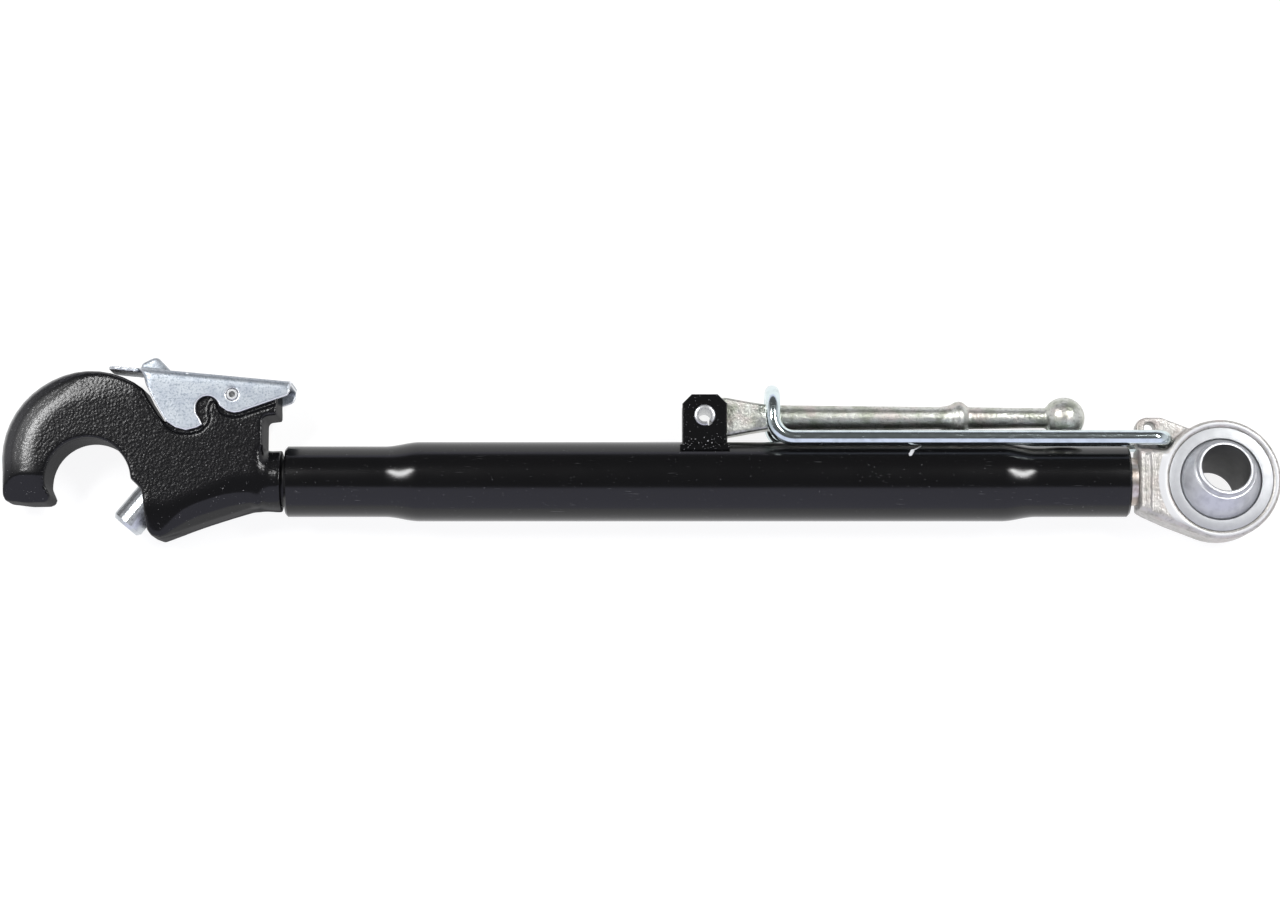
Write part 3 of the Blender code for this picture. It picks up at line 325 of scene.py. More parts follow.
def gloss_black_paint(name, fleck_share, foot=None):
    """Black gloss paint: orange peel 2 mm across, dust specks, hairline scratches, dull patches.

    Below a foot height the specks come much thicker, as weld spatter does."""
    shine = {"Specular IOR Level": 0.40}
    made, shader, recipe, place = start_finish(name, PAINT_BLACK, 0.13, 0.0, shine)
    dust = cloud(place, 1300.0, 1.0)
    specks = dust.step(fleck_share, fleck_share + 0.03)
    if foot is not None:
        height = recipe.node("ShaderNodeSeparateXYZ", {}, {0: place}, out="Y")
        spatter = cloud(place, 760.0, 0.0).step(0.745, 0.775)
        spatter = spatter * (1 - height.step(foot - 0.001, foot + 0.002))
        specks = dust.math("MAXIMUM", specks, spatter)
    patches = cloud(place, 38.0, 3.0)
    lengthwise = stretched(place, (70.0, 1500.0, 1500.0), (0.0, 0.0, 0.5))
    hairs = cloud(lengthwise, 1.0, 1.0).step(0.735, 0.76) * patches.step(0.50, 0.62)
    marks = specks.math("MAXIMUM", specks * 0.75, hairs * 0.16)
    tinted(marks, PAINT_BLACK, DUST_GREY).into(shader, "Base Color")
    (patches * 0.08 + 0.14 + marks * 0.3).into(shader, "Roughness")
    relief(cloud(place, 420.0, 2.0) + specks * 0.6, PEEL_DEPTH, shader)
    return made


def chipped(paint):
    """Scrapes a gloss paint through to pale primer along short lines: (from, to, half width)."""
    shader = paint.node_tree.nodes["Principled BSDF"]
    recipe = Finish(paint.node_tree.nodes)
    colour = Finish(recipe.nodes, shader.inputs["Base Color"].links[0].from_socket)
    place = recipe.node("ShaderNodeTexCoord", out="Object")
    x = recipe.node("ShaderNodeSeparateXYZ", {}, {0: place}, out="X")
    front = x.other("Z").step(axis_z, axis_z + 0.001)
    ragged = (cloud(place, 1500.0, 2.0) - 0.5) * 0.0012
    for (x0, y0), (x1, y1), half in PAINT_CHIPS:
        length = np.hypot(x1 - x0, y1 - y0)
        east, north = (x1 - x0) / length, (y1 - y0) / length
        along = (x - x0) * east + (x.other("Y") - y0) * north
        across = abs((x - x0) * -north + (x.other("Y") - y0) * east + ragged)
        past = abs(along - length / 2).math("MAXIMUM", abs(along - length / 2) - length / 2, 0.0)
        chip = (1 - (across + past).step(half * 0.75, half)) * front
        colour = tinted(chip, colour, PRIMER_GREY)
    colour.into(shader, "Base Color")


def fit(mesh, finish, body, slot, *nodes):
    """Gives a finished mesh its finish, its moving body and the solids that it stands for."""
    mesh.materials.append(finish)
    made = bpy.data.objects.new(mesh.name, mesh)
    bpy.context.scene.collection.objects.link(made)
    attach(made, body)
    if nodes:
        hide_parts(*nodes)
    return made


def swaged_profile(length):
    """The tube's outline: its radius eases from the drawn ends to the middle over each taper."""
    x = np.unique(np.concatenate([
        np.linspace(TUBE_CHAMFER, HOOK_SWAGE, 12),
        np.linspace(HOOK_SWAGE, HOOK_SWAGE + SWAGE_TAPER, 40),
        np.linspace(HOOK_SWAGE + SWAGE_TAPER, length - EYE_SWAGE - SWAGE_TAPER, 90),
        np.linspace(length - EYE_SWAGE - SWAGE_TAPER, length - EYE_SWAGE, 40),
        np.linspace(length - EYE_SWAGE, length - TUBE_CHAMFER, 12),
    ]))
    rise = np.clip((x - HOOK_SWAGE) / SWAGE_TAPER, 0, 1)
    fall = np.clip((length - EYE_SWAGE - x) / SWAGE_TAPER, 0, 1)
    share = np.minimum(rise, fall)
    radius = SWAGE_RADIUS + (TUBE_RADIUS - SWAGE_RADIUS) * share**2 * (3 - 2 * share)
    outside = np.stack([x, radius], axis=1)
    start = np.array([[0.0, BORE_MOUTH], [0.0, SWAGE_RADIUS - TUBE_CHAMFER]])
    end = np.array([[length, SWAGE_RADIUS - TUBE_CHAMFER], [length, BORE_MOUTH]])
    wide = TUBE_RADIUS - TUBE_WALL
    inside = np.array([
        [length - BORE_CHAMFER, TUBE_BORE], [length - EYE_SWAGE, TUBE_BORE],
        [length - EYE_SWAGE - SWAGE_TAPER, wide], [HOOK_SWAGE + SWAGE_TAPER, wide],
        [HOOK_SWAGE, TUBE_BORE], [BORE_CHAMFER, TUBE_BORE],
    ])
    return np.concatenate([start, outside, end, inside])


tube_low, tube_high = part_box("barrel_tube")
axis_y, axis_z = (tube_low.y + tube_high.y) / 2, (tube_low.z + tube_high.z) / 2
tube_profile = swaged_profile(tube_high.x - tube_low.x)
tube_points = turned(tube_profile, (tube_low.x, axis_y, axis_z), (1, 0, 0), full_circle(144))
tube_paint = gloss_black_paint("barrel_paint", TUBE_DUST)
chipped(tube_paint)
tube_skin = lay_grid("painted_barrel", tube_points, along_closed=True)
fit(tube_skin, tube_paint, "barrel", "black_paint", "barrel_tube")

# ---------------------------------------------------------------------------------------------
# Bracket. Two thick steel plates with clipped corners stand on the barrel and carry the handle.
# A run of weld joins each foot to the tube, rippled and spattered, all under the same paint.
# ---------------------------------------------------------------------------------------------
WELD_RADIUS = 0.0026
WELD_RIPPLE = 0.0021
WELD_FOOT = 0.02051
WELD_SIDE = 0.0163
WELD_INSET = 0.0003
WELD_WAVER = 0.00012
BRACKET_DUST = 0.745
SPATTER_TOP = 0.0275


def weld_bead(name, start, end, y, z):
    """A round bead along x whose radius swells and falls once per ripple and closes at its ends."""
    x = np.linspace(start, end, 150)
    share = (x - start) / (end - start)
    ends = np.sqrt(np.clip(1 - (2 * share - 1) ** 16, 0, 1))
    ripple = np.abs(np.sin((x - start) / WELD_RIPPLE * np.pi / 2))
    radius = WELD_RADIUS * ends * (0.90 + 0.10 * ripple) + WELD_WAVER * np.sin(x * 2600.0) * ends
    turn = full_circle(24)
    across = y + radius[:, None] * np.cos(turn)
    above = z + radius[:, None] * np.sin(turn)
    along = np.broadcast_to(x[:, None], across.shape)
    return lay_grid(name, np.stack([along, across, above], axis=-1), sharp=70.0)


bracket_paint = gloss_black_paint("bracket_paint", BRACKET_DUST, foot=axis_y + SPATTER_TOP)
for cheek, side in (("bracket_cheek_front", 1.0), ("bracket_cheek_rear", -1.0)):
    low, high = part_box(cheek)
    frame["nodes"][cheek].material_slots[0].material = bracket_paint
    bead = weld_bead(
        "weld_" + cheek.rsplit("_", 1)[1], low.x + WELD_INSET, high.x - WELD_INSET,
        axis_y + WELD_FOOT, axis_z + side * WELD_SIDE,
    )
    fit(bead, bracket_paint, "barrel", "black_paint")

# ---------------------------------------------------------------------------------------------
# Handle pin. A slotted spring pin, rolled from strip spring steel with a bright finish, pressed
# through both bracket plates, its ends chamfered and its slot open towards the barrel.
# ---------------------------------------------------------------------------------------------
PIN_RADIUS = 0.007
PIN_BORE = 0.0043
PIN_CHAMFER = 0.0009
PIN_EDGE = 0.0002
PIN_SLOT = 0.0016
PIN_SLOT_TURN = np.radians(-58.0)


def bright_spring_steel():
    """Rolled strip with a thin bright plate: fine lines along it and a few dull spots."""
    made, shader, recipe, place = start_finish("bright_spring_steel", (0.62, 0.63, 0.64), 0.3, 0.9)
    spots = cloud(place, 900.0, 3.0)
    tinted(spots.step(0.35, 0.7), (0.70, 0.71, 0.72), (0.44, 0.45, 0.46)).into(shader, "Base Color")
    (spots * 0.22 + 0.2).into(shader, "Roughness")
    relief(cloud(stretched(place, (1.0, 1.0, 0.12)), 2600.0, 2.0), 0.00002, shader)
    return made


low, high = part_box("handle_pin")
pin_start = ((low.x + high.x) / 2, (low.y + high.y) / 2, low.z)
length = high.z - low.z
pin_ring = np.array([
    (0.0, PIN_RADIUS - PIN_CHAMFER), (PIN_CHAMFER * 0.3, PIN_RADIUS - PIN_CHAMFER * 0.35),
    (PIN_CHAMFER, PIN_RADIUS),
    (length - PIN_CHAMFER, PIN_RADIUS),
    (length - PIN_CHAMFER * 0.3, PIN_RADIUS - PIN_CHAMFER * 0.35),
    (length, PIN_RADIUS - PIN_CHAMFER), (length, PIN_BORE + PIN_EDGE),
    (length - PIN_EDGE, PIN_BORE), (PIN_EDGE, PIN_BORE), (0.0, PIN_BORE + PIN_EDGE),
])
slot_half = np.arcsin(PIN_SLOT / PIN_RADIUS)
# turned() starts its angles at the axis crossed with y, which for an upright axis is -x
pin_angles = np.linspace(slot_half, 2 * np.pi - slot_half, 72) + PIN_SLOT_TURN + np.pi
pin_points = turned(np.concatenate([pin_ring, pin_ring[:1]]), pin_start, (0, 0, 1), pin_angles)
spring_bright = bright_spring_steel()
pin_skin = lay_grid("slotted_handle_pin", pin_points, round_closed=False)
fit(pin_skin, spring_bright, "barrel", "spring_steel", "handle_pin")

# ---------------------------------------------------------------------------------------------
# Turning handle. Drop forged in one piece: a flat lug on the pin, a tapered shaft, a collar and
# a ball knob. The rough forged skin is zinc plated and passivated to a warm, mottled grey.
# ---------------------------------------------------------------------------------------------
HANDLE_GRAIN = 0.0007
HANDLE_TINTS = ((0.62, 0.63, 0.59), (0.42, 0.44, 0.37), (0.60, 0.52, 0.50))
HANDLE_HOLLOWS = 0.00040
FINE_DEPTH = 0.00007


def corners_of(mesh):
    """A mesh's corners, as rows of x, y and z."""
    place = np.empty(len(mesh.vertices) * 3)
    mesh.vertices.foreach_get("co", place)
    return place.reshape(-1, 3)


def moved(mesh, place):
    """The mesh with its corners put where the rows say."""
    mesh.vertices.foreach_set("co", place.ravel())
    mesh.update()
    return mesh


def eased(mesh, passes, share):
    """Moves each corner towards the mean of its neighbours by half of its own share, in passes."""
    place, ends = corners_of(mesh), np.empty(len(mesh.edges) * 2, int)
    mesh.edges.foreach_get("vertices", ends)
    count, near, far = len(place), ends[::2], ends[1::2]
    degree = np.bincount(near, minlength=count) + np.bincount(far, minlength=count)
    share = 0.5 * np.broadcast_to(share(place) if callable(share) else share, count)[:, None]
    for _ in range(passes):
        total = [
            np.bincount(near, place[far, k], count) + np.bincount(far, place[near, k], count)
            for k in range(3)
        ]
        place = place + share * (np.stack(total, axis=1) / degree[:, None] - place)
    return moved(mesh, place)


def softened(node, name, grain, passes):
    """The part's solid with its triangles joined, laid out again in even faces and eased."""
    mesh = frame["nodes"][node].data.copy()
    closer = bmesh.new()
    closer.from_mesh(mesh)
    bmesh.ops.remove_doubles(closer, verts=closer.verts, dist=1e-6)
    closer.to_mesh(mesh)
    closer.free()
    blank = bpy.data.objects.new(name, mesh)
    bpy.context.scene.collection.objects.link(blank)
    even = blank.modifiers.new("even", "REMESH")
    even.mode, even.voxel_size = "VOXEL", grain
    depsgraph = bpy.context.evaluated_depsgraph_get()
    made = bpy.data.meshes.new_from_object(blank.evaluated_get(depsgraph))
    bpy.data.objects.remove(blank, do_unlink=True)
    made.name = name
    made.materials.clear()
    made.polygons.foreach_set("use_smooth", np.ones(len(made.polygons), bool))
    return eased(made, passes, 1.0)


def forged_zinc(name, tints, depth, sheen, metallic):
    """Plated forging: a hammered skin with 2 mm hollows, olive and rosy passivation clouds."""
    pale, olive, rosy = tints
    made, shader, recipe, place = start_finish(name, pale, 0.4, metallic)
    hollows = cloud(place, 420.0, 3.0, 0.6)
    clouds = cloud(place, 95.0, 3.0)
    blush = cloud(stretched(place, (1.0, 1.0, 1.0), (0.4, 0.7, 0.2)), 70.0, 2.0)
    fine = cloud(place, 1500.0, 2.0)
    colour = tinted(clouds.step(0.42, 0.66), pale, olive)
    colour = tinted(blush.step(0.50, 0.68) * 0.6, colour, rosy)
    colour = tinted((1 - hollows.step(0.30, 0.50)) * 0.5, colour, tuple(0.5 * c for c in olive))
    colour.into(shader, "Base Color")
    (sheen - hollows * 0.22 + fine * 0.14).into(shader, "Roughness")
    fine_bump = relief(fine, FINE_DEPTH, shader)
    relief(hollows, depth, shader, onto=fine_bump)
    return made


handle_zinc = forged_zinc("handle_zinc", HANDLE_TINTS, HANDLE_HOLLOWS, 0.42, 1.0)
handle_mesh = softened("turning_handle", "forged_handle", HANDLE_GRAIN, 4)
fit(handle_mesh, handle_zinc, "handle", "forged_zinc", "turning_handle")

# ---------------------------------------------------------------------------------------------
# Hook. Sand cast steel: flat cheeks with the grain of the mould, a smooth rounded spine, throat
# and nose, a groove round the lever's lobe. Sprayed black; the paint is rubbed thin on edges.
# ---------------------------------------------------------------------------------------------
HOOK_GRAIN = 0.00088
CAST_BLACK = (0.0052, 0.0052, 0.0058)
SPINE_LINE = ((-0.3090, -0.0392), (-0.2650, -0.0212))
NOSE_LINE_Y = -0.0160
NOSE_END_X = -0.372
THROAT_PAINTED_SHADE = (0.011, 0.011, 0.012)
SAND_DEPTH = 0.00017
BEND_CENTRE = (-0.3600, -0.0076)
CROWN_START = 0.037
CROWN_END = 0.0575
CROWN_DROP = 0.0025
CROWN_FADE = 0.03
BEND_SHEEN = 0.38
BEND_LIT = (-0.046, 0.004)
SPINE_REACH = 0.018
SPINE_DROP = 0.0032
SPINE_SPAN = (-0.345, -0.245)
SPINE_FADE = 0.008
SLOPE_EASE = 0.3
HOOK_CORE = 0.012
NECK_STEP = -0.2476
NECK_BLEND = 0.009
NECK_REACH = 0.0215
NECK_EDGE = 0.002


def cast_black():
    """Black on a sand casting: leathery 2 mm grain on the cheeks with painted glints, smooth spine,
    nose and throat, and painted shade on the upright walls.
    """
    shine = {"Specular IOR Level": 0.32, "Coat Roughness": BEND_SHEEN}
    made, shader, recipe, place = start_finish("cast_black", CAST_BLACK, 0.4, 0.0, shine)
    x = recipe.node("ShaderNodeSeparateXYZ", {}, {0: place}, out="X")
    normal = place.other("Normal")
    up = abs(recipe.node("ShaderNodeSeparateXYZ", {}, {0: normal}, out="Z"))
    (x0, y0), (x1, y1) = SPINE_LINE
    slope = (y1 - y0) / (x1 - x0)
    along = x.math("MAXIMUM", x.math("MINIMUM", x - x0, x1 - x0), 0.0)
    over_line = (x.other("Y") - along * slope - y0).step(-0.001, 0.005)
    nose = (NOSE_LINE_Y - x.other("Y")).step(-0.010, 0.006)
    nose = nose * (1 - (x - NOSE_END_X).step(0.0, 0.004))
    sandy = up.step(0.45, 0.8) * over_line * (1 - nose)
    # Upright faces, where the finish is mixed towards a dull black as painted shade.
    painted_shade_walls = 1 - up.step(0.12, 0.45)
    sockets = {"Vector": place, "Scale": 560.0, "Smoothness": 0.6}
    leather = recipe.node("ShaderNodeTexVoronoi", {"feature": "SMOOTH_F1"}, sockets)
    sand = cloud(place, 1100.0, 2.0, 0.6)
    grain = cloud(place, 240.0, 1.0) * 0.5 + sand * 0.45 - leather * 0.8 + 0.45
    # Sparse light grey specks: painted glints of the grain catching the lamps.
    painted_glints = cloud(place, 1000.0, 1.0).step(0.745, 0.78)
    wear = recipe.node("ShaderNodeNewGeometry", out="Pointiness").step(0.53, 0.60)
    wear = wear * cloud(place, 260.0, 3.0).step(0.40, 0.6)
    # Lighter grey points on the sandy cheeks are painted glints of the grain, not a colour of the
    # casting.
    colour = tinted(sandy * sand.step(0.60, 0.74), CAST_BLACK, (0.045, 0.045, 0.048))
    colour = tinted(wear * 0.45, colour, (0.15, 0.15, 0.16))
    colour = tinted(painted_glints * 0.7, colour, (0.34, 0.34, 0.34))
    colour.into(shader, "Base Color")
    (0.13 + sandy * 0.06 + sand * 0.05).into(shader, "Roughness")
    relief(grain * (sandy * 0.9 + 0.1), SAND_DEPTH, shader)
    across, over = x - BEND_CENTRE[0], x.other("Y") - BEND_CENTRE[1]
    thick = (across * across + over * over).root().step(CROWN_START - 0.003, CROWN_START + 0.006)
    thick = thick * (1 - across.step(*BEND_LIT)) * (1 - nose)
    thick.into(shader, "Coat Weight")
    # Painted shade: the upright walls turn to a dull diffuse black with no reflection of the table,
    # standing for the darker floor beside the hook.
    painted_shade_black = recipe.node("ShaderNodeBsdfDiffuse", {}, {"Color": (*THROAT_PAINTED_SHADE, 1.0)})
    sprayed = Finish(recipe.nodes, shader.outputs[0])
    both = recipe.node("ShaderNodeMixShader", {}, {0: painted_shade_walls * 0.85, 1: sprayed, 2: painted_shade_black})
    made.node_tree.links.new(both.socket, made.node_tree.nodes["Material Output"].inputs["Surface"])
    return made


def sloped(share):
    """0 up to share 0, then (root(share^2 + ease^2) - ease), scaled to pass through 1 at share 1:
    a slope that soon runs straight, and on beyond 1."""
    rise = np.hypot(np.maximum(share, 0), SLOPE_EASE) - SLOPE_EASE
    return rise / (np.hypot(1.0, SLOPE_EASE) - SLOPE_EASE)


def crowned(mesh):
    """Thins the hook where it is not flat: each side falls by a drop times sloped(u), where u is
    the share of the way to the bend's outer edge, or the depth below the spine line over its
    reach. So the bend's left is a shallow cone and the spine slopes away below its line."""
    place = corners_of(mesh)
    across, up = place[:, 0] - BEND_CENTRE[0], place[:, 1] - BEND_CENTRE[1]
    share = (np.hypot(across, up) - CROWN_START) / (CROWN_END - CROWN_START)
    left = np.clip(0.9 - across / CROWN_FADE, 0, 1)
    high = place[:, 2] - axis_z
    (x0, y0), (x1, y1) = SPINE_LINE
    below = y0 + np.clip(place[:, 0] - x0, 0, x1 - x0) * (y1 - y0) / (x1 - x0) - place[:, 1]
    start, end = SPINE_SPAN
    block = np.clip(np.minimum(place[:, 0] - start, end - place[:, 0]) / SPINE_FADE, 0, 1)
    drop = CROWN_DROP * sloped(share) * left + SPINE_DROP * sloped(below / SPINE_REACH) * block
    drop *= np.clip(np.abs(high) / HOOK_CORE, 0, 1)
    place[:, 2] -= np.sign(high) * drop
    return moved(mesh, place)


def neck_fillet(place):
    """How far the casting is blended where the block runs into its round neck."""
    near = np.clip(1 - np.abs(place[:, 0] - NECK_STEP) / NECK_BLEND, 0, 1)
    inside = np.clip((NECK_REACH - np.abs(place[:, 1] - axis_y)) / NECK_EDGE, 0, 1)
    return near * inside


hook_mesh = eased(crowned(softened("hook_body", "cast_hook", HOOK_GRAIN, 3)), 90, neck_fillet)
fit(hook_mesh, cast_black(), "hook", "black_cast_iron", "hook_body")

# ---------------------------------------------------------------------------------------------
# Threaded spindles. Round bar with a coarse 36 mm thread of 3 mm pitch, right handed at the eye
# and left handed at the hook, so that turning the barrel draws both in. Zinc plated and oiled.
# ---------------------------------------------------------------------------------------------
THREAD_RADIUS = 0.018
THREAD_PITCH = 0.003
THREAD_DEPTH = 0.0017
THREAD_FLANK = 2.6
THREAD_LAND = 0.25
THREAD_LEAD_IN = 0.0025
UNDERCUT_RADIUS = 0.016
UNDERCUT_LENGTH = 0.009


def threaded_bar(name, start, way, length, hand):
    """A bar along x, plain over its undercut; past it the radius falls with a ridge, clip(flank *
    |turns - 1/2| - land), that climbs one pitch for each turn round the bar."""
    along = np.concatenate([
        [0.0, 0.0], np.linspace(0.0, UNDERCUT_LENGTH, 8)[1:],
        np.arange(UNDERCUT_LENGTH, length, THREAD_PITCH / 10)[1:], [length, length],
    ])
    turn = full_circle(60)
    climb = along[:, None] / THREAD_PITCH + hand * way * turn[None] / (2 * np.pi)
    ridge = np.clip(np.abs(climb % 1.0 - 0.5) * THREAD_FLANK - THREAD_LAND, 0, 1)
    lead = np.clip((along - UNDERCUT_LENGTH) / THREAD_LEAD_IN, 0, 1)[:, None]
    end = np.clip((length - along) / THREAD_LEAD_IN, 0, 1)[:, None]
    thread = THREAD_RADIUS - THREAD_DEPTH * ridge - THREAD_LEAD_IN * (1 - end)
    radius = UNDERCUT_RADIUS + (thread - UNDERCUT_RADIUS) * lead
    radius[0] = radius[-1] = 0.0
    x = start[0] + way * along[:, None] + 0 * turn[None]
    y = start[1] + radius * np.cos(turn)
    z = start[2] + way * radius * np.sin(turn)
    return lay_grid(name, np.stack([x, y, z], axis=-1), sharp=75.0)


def oiled_zinc():
    """Yellowish pink zinc plate on turned steel, darker where oil has dried in the thread."""
    made, shader, recipe, place = start_finish("oiled_zinc", (0.60, 0.55, 0.50), 0.33, 0.9)
    oil = cloud(place, 240.0, 3.0)
    tinted(oil.step(0.4, 0.65), (0.66, 0.61, 0.56), (0.46, 0.40, 0.35)).into(shader, "Base Color")
    (oil * 0.25 + 0.2).into(shader, "Roughness")
    relief(cloud(place, 1600.0, 2.0), 0.00003, shader)
    return made


def dull_black_steel():
    """Dull black steel for the hook's spindle, greasy in the thread."""
    made, shader, recipe, place = start_finish("dull_black_steel", (0.012, 0.012, 0.013), 0.45, 0.2)
    grease = cloud(place, 300.0, 3.0)
    colour = tinted(grease.step(0.4, 0.65), (0.010, 0.010, 0.011), (0.035, 0.034, 0.033))
    colour.into(shader, "Base Color")
    (grease * 0.3 + 0.3).into(shader, "Roughness")
    relief(grease, 0.00004, shader)
    return made


low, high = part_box("hook_spindle")
bar = threaded_bar("left_hand_spindle", (low.x, axis_y, axis_z), 1.0, high.x - low.x, -1.0)
fit(bar, dull_black_steel(), "hook", "plated_steel", "hook_spindle")
low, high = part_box("eye_spindle")
bar = threaded_bar("right_hand_spindle", (high.x, axis_y, axis_z), -1.0, high.x - low.x, 1.0)
fit(bar, oiled_zinc(), "eye", "plated_steel", "eye_spindle")

# ---------------------------------------------------------------------------------------------
# Locking bolt and what drives it. The bolt is turned bar, zinc plated; behind it sit its spring,
# the ring that the spring pushes on, the circlip that holds the ring, and the lever's roll pin.
# ---------------------------------------------------------------------------------------------
BOLT_TRAVEL = 0.020
SPRING_WIRE = 0.00125
SPRING_COIL = 0.0094
SPRING_TURNS = 5
SPRING_STEPS = 24
WIRE_END = 0.14


def turned_zinc():
    """Blue-white zinc on turned bar: fine mottling and a few darker handling marks."""
    made, shader, recipe, place = start_finish("turned_zinc", (0.56, 0.59, 0.61), 0.34, 0.85)
    mottle = cloud(place, 700.0, 3.0)
    marks = cloud(place, 150.0, 3.0)
    tinted(marks.step(0.45, 0.7), (0.59, 0.62, 0.64), (0.44, 0.46, 0.48)).into(shader, "Base Color")
    (mottle * 0.25 + 0.2).into(shader, "Roughness")
    relief(mottle, 0.00008, shader)
    return made


def dark_spring_wire():
    """Oil-tempered spring wire: dark grey with the drawing die's lines along it."""
    made, shader, recipe, place = start_finish("dark_spring_wire", (0.20, 0.20, 0.21), 0.35, 0.9)
    lines = cloud(place, 1800.0, 2.0)
    tinted(lines, (0.13, 0.13, 0.14), (0.28, 0.28, 0.30)).into(shader, "Base Color")
    (lines * 0.2 + 0.25).into(shader, "Roughness")
    return made


def swept_wire(name, path, radius, sides, hint):
    """A round wire: at each point of a path a circle across it, whose first corner lies square
    to the path and to the hint; both ends are drawn in over a small share of the radius."""
    keep = np.concatenate([[True], np.linalg.norm(np.diff(path, axis=0), axis=1) > 1e-6])
    path = path[keep]
    tangent = np.gradient(path, axis=0)
    tangent /= np.linalg.norm(tangent, axis=1)[:, None]
    side = np.cross(np.array(hint, float), tangent)
    side /= np.linalg.norm(side, axis=1)[:, None]
    over = np.cross(tangent, side)
    size = np.full(len(path), radius)
    first = path[:1] - tangent[:1] * radius * WIRE_END
    last = path[-1:] + tangent[-1:] * radius * WIRE_END
    path = np.concatenate([first, first, path, last, last])
    side = np.concatenate([side[:1], side[:1], side, side[-1:], side[-1:]])
    over = np.concatenate([over[:1], over[:1], over, over[-1:], over[-1:]])
    flat = radius * (1 - WIRE_END)
    size = np.concatenate([[0.0, flat], size, [flat, 0.0]])
    turn = full_circle(sides)
    east, north = np.cos(turn)[None, :, None], np.sin(turn)[None, :, None]
    ring = east * side[:, None] + north * over[:, None]
    return lay_grid(name, path[:, None] + size[:, None, None] * ring, sharp=50.0)


def coil_path(start, way, length, radius, turns):
    """A spring's middle line: radius * (cos, sin) round the way, climbing its length evenly but
    for half a turn at each end, which lies flat."""
    way = np.array(way, float) / np.linalg.norm(way)
    side = np.cross(way, (0.0, 0.0, 1.0))
    turn = np.linspace(0.0, turns, turns * SPRING_STEPS + 1)[:, None]
    climb = np.clip((turn - 0.5) / (turns - 1.0), 0, 1) * length
    round_it = np.cos(turn * 2 * np.pi) * side + np.sin(turn * 2 * np.pi) * np.cross(way, side)
    return np.array(start, float) + climb * way + radius * round_it


bolt_zinc, spring_dark = turned_zinc(), dark_spring_wire()
for node, finish in (
    ("locking_bolt", bolt_zinc), ("lever_pin", spring_bright), ("bore_circlip", spring_dark),
    ("spring_seat_ring", bolt_zinc),
):
    frame["nodes"][node].material_slots[0].material = finish

joints = {joint["name"]: joint for joint in frame["record"]["behaviour"]["joints"]}
slide = joints["bolt_slide"]
rest_end = np.array(slide["deforming_nodes"][0]["fixed_end_m"])
bolt_way = np.array(slide["axis"]) / np.linalg.norm(slide["axis"])
solid_spring = corners_of(frame["nodes"]["bolt_spring"].data)
spring_length = -((solid_spring - rest_end) @ bolt_way).min()
coil_start = rest_end - bolt_way * (spring_length - SPRING_WIRE)
coil = coil_path(coil_start, bolt_way, spring_length - 2 * SPRING_WIRE, SPRING_COIL, SPRING_TURNS)
spring_mesh = swept_wire("coiled_bolt_spring", coil, SPRING_WIRE, 16, bolt_way)
spring = fit(spring_mesh, spring_dark, "hook", "spring_steel", "bolt_spring")
1 - BOLT_TRAVEL / spring_length
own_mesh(spring)

# ---------------------------------------------------------------------------------------------
# Release lever. Pressed from 3 mm sheet into a channel that straddles the hook, with a thumb
# tongue at its front and an ear on top, then zinc plated; its cut edges are rubbed bright and carry
# a painted highlight.
# ---------------------------------------------------------------------------------------------
LEVER_GRAIN = 0.0005
FOLD_LINE = ((-0.3317, 0.0506), (-0.2294, 0.0434))
FOLD_REACH = 0.006
FOLD_BLEND = 0.003
FOLD_END = 0.004
TONGUE_EASE = 0.15


def pressed_zinc():
    """Bright blue-white zinc on pressed sheet: fine mottling, soft clouds, and cut edges that are
    both rubbed bright and painted with a highlight.
    """
    made, shader, recipe, place = start_finish("pressed_zinc", (0.37, 0.40, 0.44), 0.38, 0.7)
    mottle = cloud(place, 640.0, 3.0, 0.7)
    clouds = cloud(place, 120.0, 3.0)
    edge = recipe.node("ShaderNodeNewGeometry", out="Pointiness").step(0.505, 0.535)
    colour = tinted(clouds.step(0.35, 0.7), (0.38, 0.41, 0.44), (0.31, 0.34, 0.38))
    colour = tinted(mottle.step(0.50, 0.60) * 0.65, colour, (0.16, 0.19, 0.22))
    # Near-white on the edges: rubbed-bright cut edges, together with a painted edge highlight.
    colour = tinted(edge, colour, (0.86, 0.88, 0.90))
    colour.into(shader, "Base Color")
    (0.32 + mottle * 0.20 - edge * 0.08).into(shader, "Roughness")
    relief(mottle, 0.00007, shader)
    return made


def fold_line(place):
    """How far the sheet is rounded: fully within some millimetres of the straight fold on top,
    and a little on the thumb tongue in front of it."""
    (x0, y0), (x1, y1) = FOLD_LINE
    below = y0 + (place[:, 0] - x0) * (y1 - y0) / (x1 - x0) - place[:, 1]
    inside = np.clip(np.minimum(place[:, 0] - x0, x1 - place[:, 0]) / FOLD_END, 0, 1)
    tongue = np.clip((x0 + FOLD_END / 2 - place[:, 0]) / FOLD_END, 0, 1) * TONGUE_EASE
    return np.maximum(np.clip(1 - (below - FOLD_REACH) / FOLD_BLEND, 0, 1) * inside, tongue)


lever_mesh = eased(softened("release_lever", "pressed_lever", LEVER_GRAIN, 3), 70, fold_line)
fit(lever_mesh, pressed_zinc(), "lever", "bright_zinc", "release_lever")

# ---------------------------------------------------------------------------------------------
# Eye. A forging with a milled face round its bore, a waisted neck welded to the spindle and a
# thin lug for the bail; plated like the handle. The split race pressed into it is ground steel.
# ---------------------------------------------------------------------------------------------
EYE_GRAIN = 0.0007
FACE_RADIUS = 0.0412
NECK_RIDGE = 0.3328
NECK_SPAN = (-0.0445, -0.0030)
RIDGE_DEPTH = 0.0008
EYE_TINTS = ((0.50, 0.485, 0.46), (0.39, 0.38, 0.345), (0.46, 0.40, 0.38))
EYE_HOLLOWS = 0.00042
MILLED_GREY = (0.55, 0.555, 0.56)
WHEEL_RINGS = 31000.0


